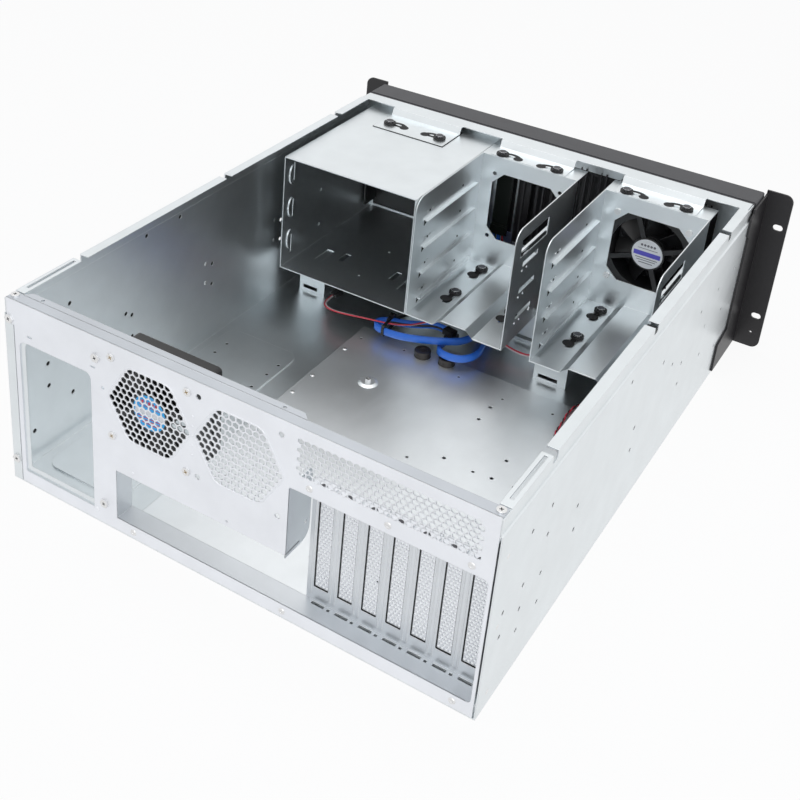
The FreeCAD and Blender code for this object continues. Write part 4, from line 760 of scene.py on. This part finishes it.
# Around each grille the sheet is pressed out into a low hexagonal bead, and small pips stand
# in a row between the two grilles.
build = bmesh.new()
corners = [math.tau * side / 6 for side in range(6)]
for centre in GRILLES:
    loops = []
    for radius, level in ((41.5, -0.4), (41.0, 0.35), (40.0, 0.35), (39.5, -0.4)):
        outline = rounded([(radius * math.cos(angle), radius * 0.955 * math.sin(angle), 7)
                           for angle in corners], 4)
        loops.append([build.verts.new(spot(centre + u, level, GRILLE_LEVEL + v))
                      for u, v in outline])
    count = len(loops[0])
    for first, second in zip(loops, loops[1:] + loops[:1]):
        for step in range(count):
            build.faces.new([first[step], first[(step + 1) % count],
                             second[(step + 1) % count], second[step]])
for step in range(5):
    lathe(build, [(0, 0.45), (0.7, 0.35), (1.1, 0), (1.1, -0.3), (0, -0.3)],
          seat(29.6, 0, 110 + step * 8.6, (0, 1, 0)), 10)
for x, z, radius in ((87.3, 64.9, 2.2), (124.6, 11.1, 2.6)):
    lathe(build, [(0, 0.5), (radius - 0.6, 0.45), (radius, 0), (radius, -0.3), (0, -0.3)],
          seat(x, 0, z, (0, 1, 0)), 16)
made("panel_beads", build, panel_steel)

# Semi-tubular steel rivets hold the sheet to the pan's upstand and to the slot wall.
build = bmesh.new()
for x, z in ((86.6, 6.4), (-55, 6.3), (-196.7, 6.8), (-72, 129), (-134.5, 129.4), (-197, 128.8)):
    lathe(build, [(0, 0.25), (1.0, 0.3), (1.3, 0.8), (2.4, 0.55), (2.9, 0), (2.9, -0.5),
                  (0, -0.5)], seat(x, 0, z, (0, 1, 0)), 16)
made("panel_rivets", build, bright_screw)


# ---------------------------------------------------------------- expansion slots
# A recessed wall with seven long openings, each closed from inside by a stamped cover whose
# middle strip is perforated with fine holes; a pressed rib stands between neighbours.
cover_steel = sheet_metal("cover_steel", (0.80, 0.82, 0.86), 0.45, 0.8, 0.25)
# A near-black finish for painted shade in gaps, holes and recesses, and for painted shadows.
painted_shade = coated("painted_shade", (0.006, 0.006, 0.007), 0.7, 900, 0.00001)
openings = [rounded([(centre - 6.3, 25, 1), (centre + 6.3, 25, 1), (centre + 6.3, 121, 1),
                     (centre - 6.3, 121, 1)], 3)
            for centre in [slot_centre(number) for number in range(SLOTS)]]
wall = punched("slot_face", [(RECESS_EDGE, 12.5), (-64.4, 12.5), (-64.4, 123.5),
                             (RECESS_EDGE, 123.5)], openings, 1.0, "xz", -19.5)
build = bmesh.new()
slab(build, (RECESS_EDGE, -19, 122.5), (-64.4, -1, 123.5))
slab(build, (RECESS_EDGE, -2, 122.5), (-64.4, -1, 132.5))
for number in range(SLOTS + 1):
    for shift in (7.9, 11.6):
        x = slot_centre(number) + shift
        if -208.6 < x < -66:
            slab(build, (x, -18.7, 17), (x + 1.1, -18.1, 121.4))
# The slot wall takes the darker return finish too: painted shade on the recessed wall.
slot_wall = new_piece("slot_wall", merge("slot_wall", [wall, close_mesh("slot_returns", build)]),
                      shaded_fold_steel)
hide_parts("slot_panel")

perforation = []
for row in range(32):
    for column in range(4 - row % 2):
        perforation.append(ring_of(-4.5 + 3.0 * column + 1.5 * (row % 2), 27.4 + 2.95 * row, 1.22,
                                   6, 0.5))
blade = punched("cover_blade", [(-9.2, 17.5), (-5, 13.5), (5, 13.5), (9.2, 17.5), (9.2, 124.3),
                                (-9.2, 124.3)], perforation, 0.8, "xz", -20.3)
build = bmesh.new()
slab(build, (-9.2, -19.9, 123.5), (9.2, -8.5, 124.3))
tongue = close_mesh("cover_tab", build)
for number in range(SLOTS):
    mesh = merge(f"slot_blade_{number + 1}", [blade, tongue])
    mesh.transform(Matrix.Translation((slot_centre(number) * MM, 0, 0)))
    cover = new_piece(f"slot_blade_{number + 1}", mesh, cover_steel)
    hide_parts(f"slot_cover_{number + 1}")

# The covers stand a little behind the wall: dark strips along each opening paint the
# shadow that its edges cast onto the cover.
build = bmesh.new()
for number in range(SLOTS):
    x = slot_centre(number)
    slab(build, (x + 5.5, -19.5, 25), (x + 6.3, -18.9, 121))
    slab(build, (x - 6.3, -19.5, 25), (x + 6.3, -18.9, 25.8))
    slab(build, (x - 6.3, -19.5, 25), (x - 5.95, -18.9, 121))
made("slot_gap_shadows", build, painted_shade)

# Pan-head screws hold the covers' tabs on the shelf behind the vent.
build = bmesh.new()
for number in range(SLOTS):
    lathe(build, [(0, 1.6), (1.0, 1.5), (2.6, 1.0), (3.0, 0), (0, 0)],
          seat(slot_centre(number), -12.5, 124.3), 16)
made("cover_screws", build, dark_screw)


# ---------------------------------------------------------------- pan, tray and their holes
# Small tapped and clearance holes are punched through the side walls, the pad and the tray
# before folding; the tray is riveted down on the floor by low round bosses.
RIGHT_WALL, LEFT_WALL = -215, 214
RIGHT_HOLES = ((-149, 62.5), (-267, 62.5), (-384, 62.5), (-149, 85), (-267, 85), (-384, 85),
               (-89, 127), (-56, 127), (-89, 101), (-88, 66), (-54, 81), (-90, 37), (-54, 59),
               (-22, 81), (-54, 39), (-22, 59), (-233, 149), (-320, 120), (-352, 101), (-420, 120),
               (-446, 92), (-448, 60), (-470, 120), (-500, 84), (-505, 40), (-520, 120))
LEFT_HOLES = ((-71, 135), (-141, 90), (-170, 156.6), (-217, 156.5), (-43, 90), (-43, 68),
              (-71, 46), (-24, 32.5), (-149, 62.5), (-267, 62.5), (-149, 85), (-267, 85))
PAD_HOLES = ((192.4, -265), (192.8, -246), (130.6, -265), (131, -246), (131, -221))
TRAY_HOLES = ((90, -352), (45, -360), (-20, -352), (-70, -345), (-118, -352), (-185, -345),
              (86, -180), (30, -205), (-40, -215), (-96, -232), (-150, -228), (-186, -236),
              (86, -60), (30, -70), (-40, -62), (-96, -70), (-150, -60), (-186, -72))


def drill(node, build):
    """Cuts small holes and slots into a CAD node with a hidden cutter."""
    cutter = bpy.data.objects.new(node + "_drill", close_mesh(node + "_drill", build))
    scene.collection.objects.link(cutter)
    cutter.hide_render = True
    cutter.hide_viewport = True
    change = nodes[node].modifiers.new("drill", "BOOLEAN")
    change.operation = "DIFFERENCE"
    change.solver = "EXACT"
    change.object = cutter


build = bmesh.new()
for y, z in RIGHT_HOLES:
    rod(build, 1.9, -3, 0.3, seat(RIGHT_WALL, y, z, (-1, 0, 0)), 12)
for y, z in LEFT_HOLES:
    rod(build, 2.1, -3, 0.3, seat(LEFT_WALL, y, z, (-1, 0, 0)), 12)
for x, y in PAD_HOLES:
    rod(build, 1.7, -4, 4, seat(x, y, 1.5), 12)
drill("base_pan", build)
build = bmesh.new()
for x, y in TRAY_HOLES:
    rod(build, 1.5, -4, 4, seat(x, y, 4.5), 10)
drill("motherboard_tray", build)

# Thin dark discs stand behind the small holes, so that each looks open onto shade.
build = bmesh.new()
for places, radius in (
        ([(RIGHT_WALL + 0.55, y, z, (-1, 0, 0)) for y, z in RIGHT_HOLES], 2.1),
        ([(LEFT_WALL + 0.5, y, z, (-1, 0, 0)) for y, z in LEFT_HOLES], 2.3),
        ([(x, y, 1.9, (0, 0, 1)) for x, y in PAD_HOLES], 1.9),
        ([(x, y, 4.3, (0, 0, 1)) for x, y in TRAY_HOLES], 1.7)):
    for x, y, z, normal in places:
        rod(build, radius, 0, -0.3, seat(x, y, z, normal), 12)
made("hole_shades", build, painted_shade)

# Flat and domed rivets stand on the side walls and along the tray's edge.
build = bmesh.new()
for y, z in ((-15.5, 135), (-15.5, 73.6), (-15.5, 13.4)):
    lathe(build, [(0, 0.15), (1.6, 0.15), (2.2, 0), (2.2, -0.4), (0, -0.4)],
          seat(RIGHT_WALL, y, z, (-1, 0, 0)), 14)
for y, z in ((-257, 89), (-257, 68), (-373, 89), (-373, 66)):
    lathe(build, [(0, 0.5), (1.5, 0.4), (2.2, 0), (2.2, -0.3), (0, -0.3)],
          seat(LEFT_WALL, y, z, (-1, 0, 0)), 14)
for x, y in ((93, -325.6), (93.4, -268.3), (93.6, -234.4)):
    lathe(build, [(0, 0.9), (1.6, 0.7), (2.4, 0), (2.4, -0.3), (0, -0.3)],
          seat(x, y, TRAY_TOP), 14)
made("wall_rivets", build, bright_screw)


# ---------------------------------------------------------------- drive cages
# Folded steel boxes that hang from the front wall's rail by wide tabs; bosses, lances and small
# threaded holes in their walls take the drives, and curved slots let the tabs be set square.
DISK_CAGES = {"disk_cage_middle": -2.0, "disk_cage_right": -134.8}
RUNNERS = (52.15, 81.05, 109.95, 138.85)
FLOOR_HUMP, TAB_FACE, WIDE_TAB = 43.5, 169.5, 129.5
build = bmesh.new()
for x in (91, 153):
    slab(build, (x, -430, 40), (x + 6, -412, 46))
drill("drive_bay_cage", build)

for node, centre in DISK_CAGES.items():
    left, right = centre + 51.5, centre - 51.5
    build = bmesh.new()
    for rib in RUNNERS:
        for y in (-388, -398):
            for wall in (left, right):
                rod(build, 1.3, -3, 3, seat(wall, y, rib + 9, (1, 0, 0)), 10)
    for z in (125.5, 96.5, 67.5):
        slab(build, (right - 3, -422, z - 2.5), (right + 3, -388, z + 2.5))
    for y in (-420, -460, -480):
        rod(build, 2.2, -3, 3, seat(right, y, 62, (1, 0, 0)), 12)
    drill(node, build)

# Crescent beads are pressed inwards from the wide cage's left wall, and low round bosses from
# its floor, to guide and stop the drives.
crescent = [math.radians(-80 + 16 * step) for step in range(11)]
build = bmesh.new()
for z in (70, 107, 144):
    swept(build, [spot(198.2, -380 + 7 * math.cos(angle), z + 11 * math.sin(angle))
                  for angle in crescent], round_section(0.8, 6))
for x, y in ((125, -400), (125, -462), (78, -440)):
    lathe(build, [(0, 0.25), (1.3, 0.2), (1.3, -0.2), (0, -0.2)],
          seat(x, y, FLOOR_HUMP), 10)
made("cage_lances", build, zinc_steel)

# Dark inlays paint the shade in openings that aren't cut into the sheet: the notch at each
# drive runner's open end, small holes beside the runners, the keyholes of the floor humps and
# the curved slots of the tabs. A dark strip under each runner paints its shadow.
build = bmesh.new()
for centre in DISK_CAGES.values():
    for rib in RUNNERS:
        for side in (-1, 1):
            x = centre + side * 51
            slab(build, (x - 0.2, -491, rib - 2.2), (x + 0.2, -385, rib - 0.6))
            tip = [build.verts.new(spot(x + offset, y, z)) for offset in (-0.3, 0.3)
                   for y, z in ((-383, rib + 0.6), (-383, rib - 5.2), (-391, rib - 0.6))]
            for ring in ((0, 1, 2), (3, 5, 4), (0, 3, 4, 1), (1, 4, 5, 2), (2, 5, 3, 0)):
                build.faces.new([tip[index] for index in ring])
            for y in (-393, -462):
                rod(build, 1.2, 0.3, -0.3, seat(x, y, rib + 8, (-side, 0, 0)), 10)
    for side in (-1, 1):
        for y in (-430, -490):
            rod(build, 6.0, 0.08, -0.2,
                seat(centre + side * 31 + 3, y + 14.5, FLOOR_HUMP), 24)
            slab(build, (centre + side * 31 - 1.5, y, 43.4),
                 (centre + side * 31 + 3.5, y + 11, 43.58))
arc = [math.radians(step * 15) for step in range(13)]
loop = [(21 + (radius * math.cos(angle)), -radius * 0.75 * math.sin(angle))
        for radius, run in ((11.4, arc), (6.0, arc[::-1])) for angle in run]
# A dark strip under the wide cage's tab paints the shadow along its rear edge.
slab(build, (WIDE_TAB - 41.7, -532, 168.3), (WIDE_TAB + 41.7, -502 + 15.7, 168.9))
for centre, y in ((WIDE_TAB, -502), (0.5, -508.5), (-132.3, -508.5)):
    for side in (-1, 1):
        rod(build, 4.9, 0.08, -0.2, seat(centre + side * 12.5, y, TAB_FACE), 24)
        low = [build.verts.new(spot(centre + side * u, y + v, 169.4)) for u, v in loop]
        high = [build.verts.new(spot(centre + side * u, y + v, 169.57)) for u, v in loop]
        build.faces.new(low)
        build.faces.new(high)
        for step in range(len(loop)):
            after = (step + 1) % len(loop)
            build.faces.new([low[step], low[after], high[after], high[step]])
made("cage_slot_shades", build, painted_shade)


# ---------------------------------------------------------------- fans
# Moulded black fans with four struts behind the hub; a round paper label covers the hub's
# bearing cap.
pale_label = coated("pale_label", (0.75, 0.77, 0.80), 0.45, 1500, 0.00001)
violet_print = coated("violet_print", (0.10, 0.09, 0.55), 0.45, 1500, 0.00001)
cyan_print = coated("cyan_print", (0.03, 0.42, 0.85), 0.45, 1500, 0.00001)
grey_print = coated("grey_print", (0.15, 0.15, 0.17), 0.45, 1500, 0.00001)


def fan_label(name, x, y, z, base, band, line):
    """A plain round label on a fan's hub: a coloured band and bars of small print."""
    build = bmesh.new()
    place = seat(x, y, z, (0, 1, 0))
    lathe(build, [(0, 0.42), (15.2, 0.42), (15.6, 0.05), (0, 0.05)], place, 40)
    slab(build, (-13.4, -2.6, 0.38), (13.4, 2.2, 0.48), place, 1)
    for low, high, width in ((-5.4, -4.6, 11), (-7.6, -6.9, 9.5), (-10.2, -9.4, 7),
                             (5.0, 5.5, 10)):
        slab(build, (-width, low, 0.38), (width, high, 0.47), place, 2)
    for step in range(5):
        lathe(build, [(0, 0.48), (1.3, 0.47), (1.3, 0.38), (0, 0.38)],
              place @ Matrix.Translation(Vector((-6.4 + 3.2 * step, 9.0, 0)) * MM), 10, 2)
    label = made(name, build, (base, band, line))


fan_label("front_fan_label", -134.8, -504, 113.7, pale_label, violet_print, grey_print)
fan_label("rear_fan_label", REAR_FAN, -1.4, GRILLE_LEVEL, cyan_print, pale_label, red_wire)

# A moulded guard with a finger grille stands inside the rear fan: its upper edge shows behind
# the panel's flange, and the rest is what such guards usually have.
GUARD_LEVEL = 127
guard_place = seat(REAR_FAN, -34.0, GUARD_LEVEL, (0, 1, 0))
build = bmesh.new()
for radius in (8, 15, 22, 29):
    lathe(build, [(radius - 1.1, 0), (radius, 1.1), (radius + 1.1, 0), (radius, -1.1),
                  (radius - 1.1, 0)], guard_place, 36)
for arm in range(4):
    slab(build, (0, -1, -1), (37.5, 1, 1),
         guard_place @ Matrix.Rotation(math.pi / 4 + arm * math.pi / 2, 4, "Z"))
made("finger_grille", build, black_plastic)
guard_outline = rounded([(30, 87.5, 5), (111, 87.5, 5), (110.5, 166.6, 4), (30, 166.6, 4)])
guard = punched("fan_guard", guard_outline, [ring_of(REAR_FAN, GUARD_LEVEL, 36.5, 40)], 9.6, "xz",
                -35.5)
new_piece("fan_guard", guard, black_plastic)


# ---------------------------------------------------------------- front wall and mesh
# A black mesh closes the intake behind the disk cages: plain upright bars stand for its bands
# of holes. The control board and the status lamps sit beside it.
board_green = coated("board_green", (0.006, 0.009, 0.007), 0.4, 1200, 0.00002)
lamp_plastic = coated("lamp_plastic", (0.55, 0.60, 0.66), 0.15, 900, 0.00001)
finish(board_green, "control_board")
finish(lamp_plastic, "status_lamps")
build = bmesh.new()
for band in range(10):
    x = -176 + band * 21.5
    slab(build, (x - 0.8, -547.4, 52), (x + 0.8, -546.6, 163))
    slab(build, (x + 5.2, -547.4, 52), (x + 6.0, -546.6, 163))
made("mesh_bars", build, grey_frame)


# ---------------------------------------------------------------- cross recesses and edge rubbers
# The bright screws have a stamped cross: dark inlays paint the shade in the recesses of the
# power-supply and lid screws, yellow inlays mark the fan screws' crosses; two rubber bumpers
# sit in the notches of the right wall.
golden_mark = coated("golden_mark", (0.42, 0.28, 0.10), 0.35, 900, 0.00001, 0.7)


def crosses(name, places, reach, material):
    """Cross recesses on screw heads, each place being x, y, z and the head's normal."""
    build = bmesh.new()
    for x, y, z, normal in places:
        place = seat(x, y, z, normal) @ Matrix.Rotation(0.5, 4, "Z")
        slab(build, (-reach, -0.35, -0.2), (reach, 0.35, 0.05), place)
        slab(build, (-0.35, -reach, -0.2), (0.35, reach, 0.05), place)
    made(name, build, material)


crosses("psu_screw_marks", [(x, 1.6, z, (0, 1, 0)) for x, z in
                            ((121.2, 157.5), (209.9, 157.5), (115.7, 21.5), (210.4, 21.5))], 1.5,
        painted_shade)
crosses("fan_screw_marks", [(REAR_FAN + SCREW_REACH * u, 1.0, GRILLE_LEVEL + SCREW_REACH * v,
                             (0, 1, 0)) for u in (-1, 1) for v in (-1, 1)], 1.7, golden_mark)
crosses("lid_screw_marks", [(x, -6.5, 177, (0, 0, 1)) for x in (-208.8, 208.8)], 1.5, painted_shade)
build = bmesh.new()
for y in (-279, -474):
    slab(build, (-213.4, y - 3.4, 169.6), (-205.2, y + 3.4, 173.2))
made("edge_bumpers", build, black_rubber)
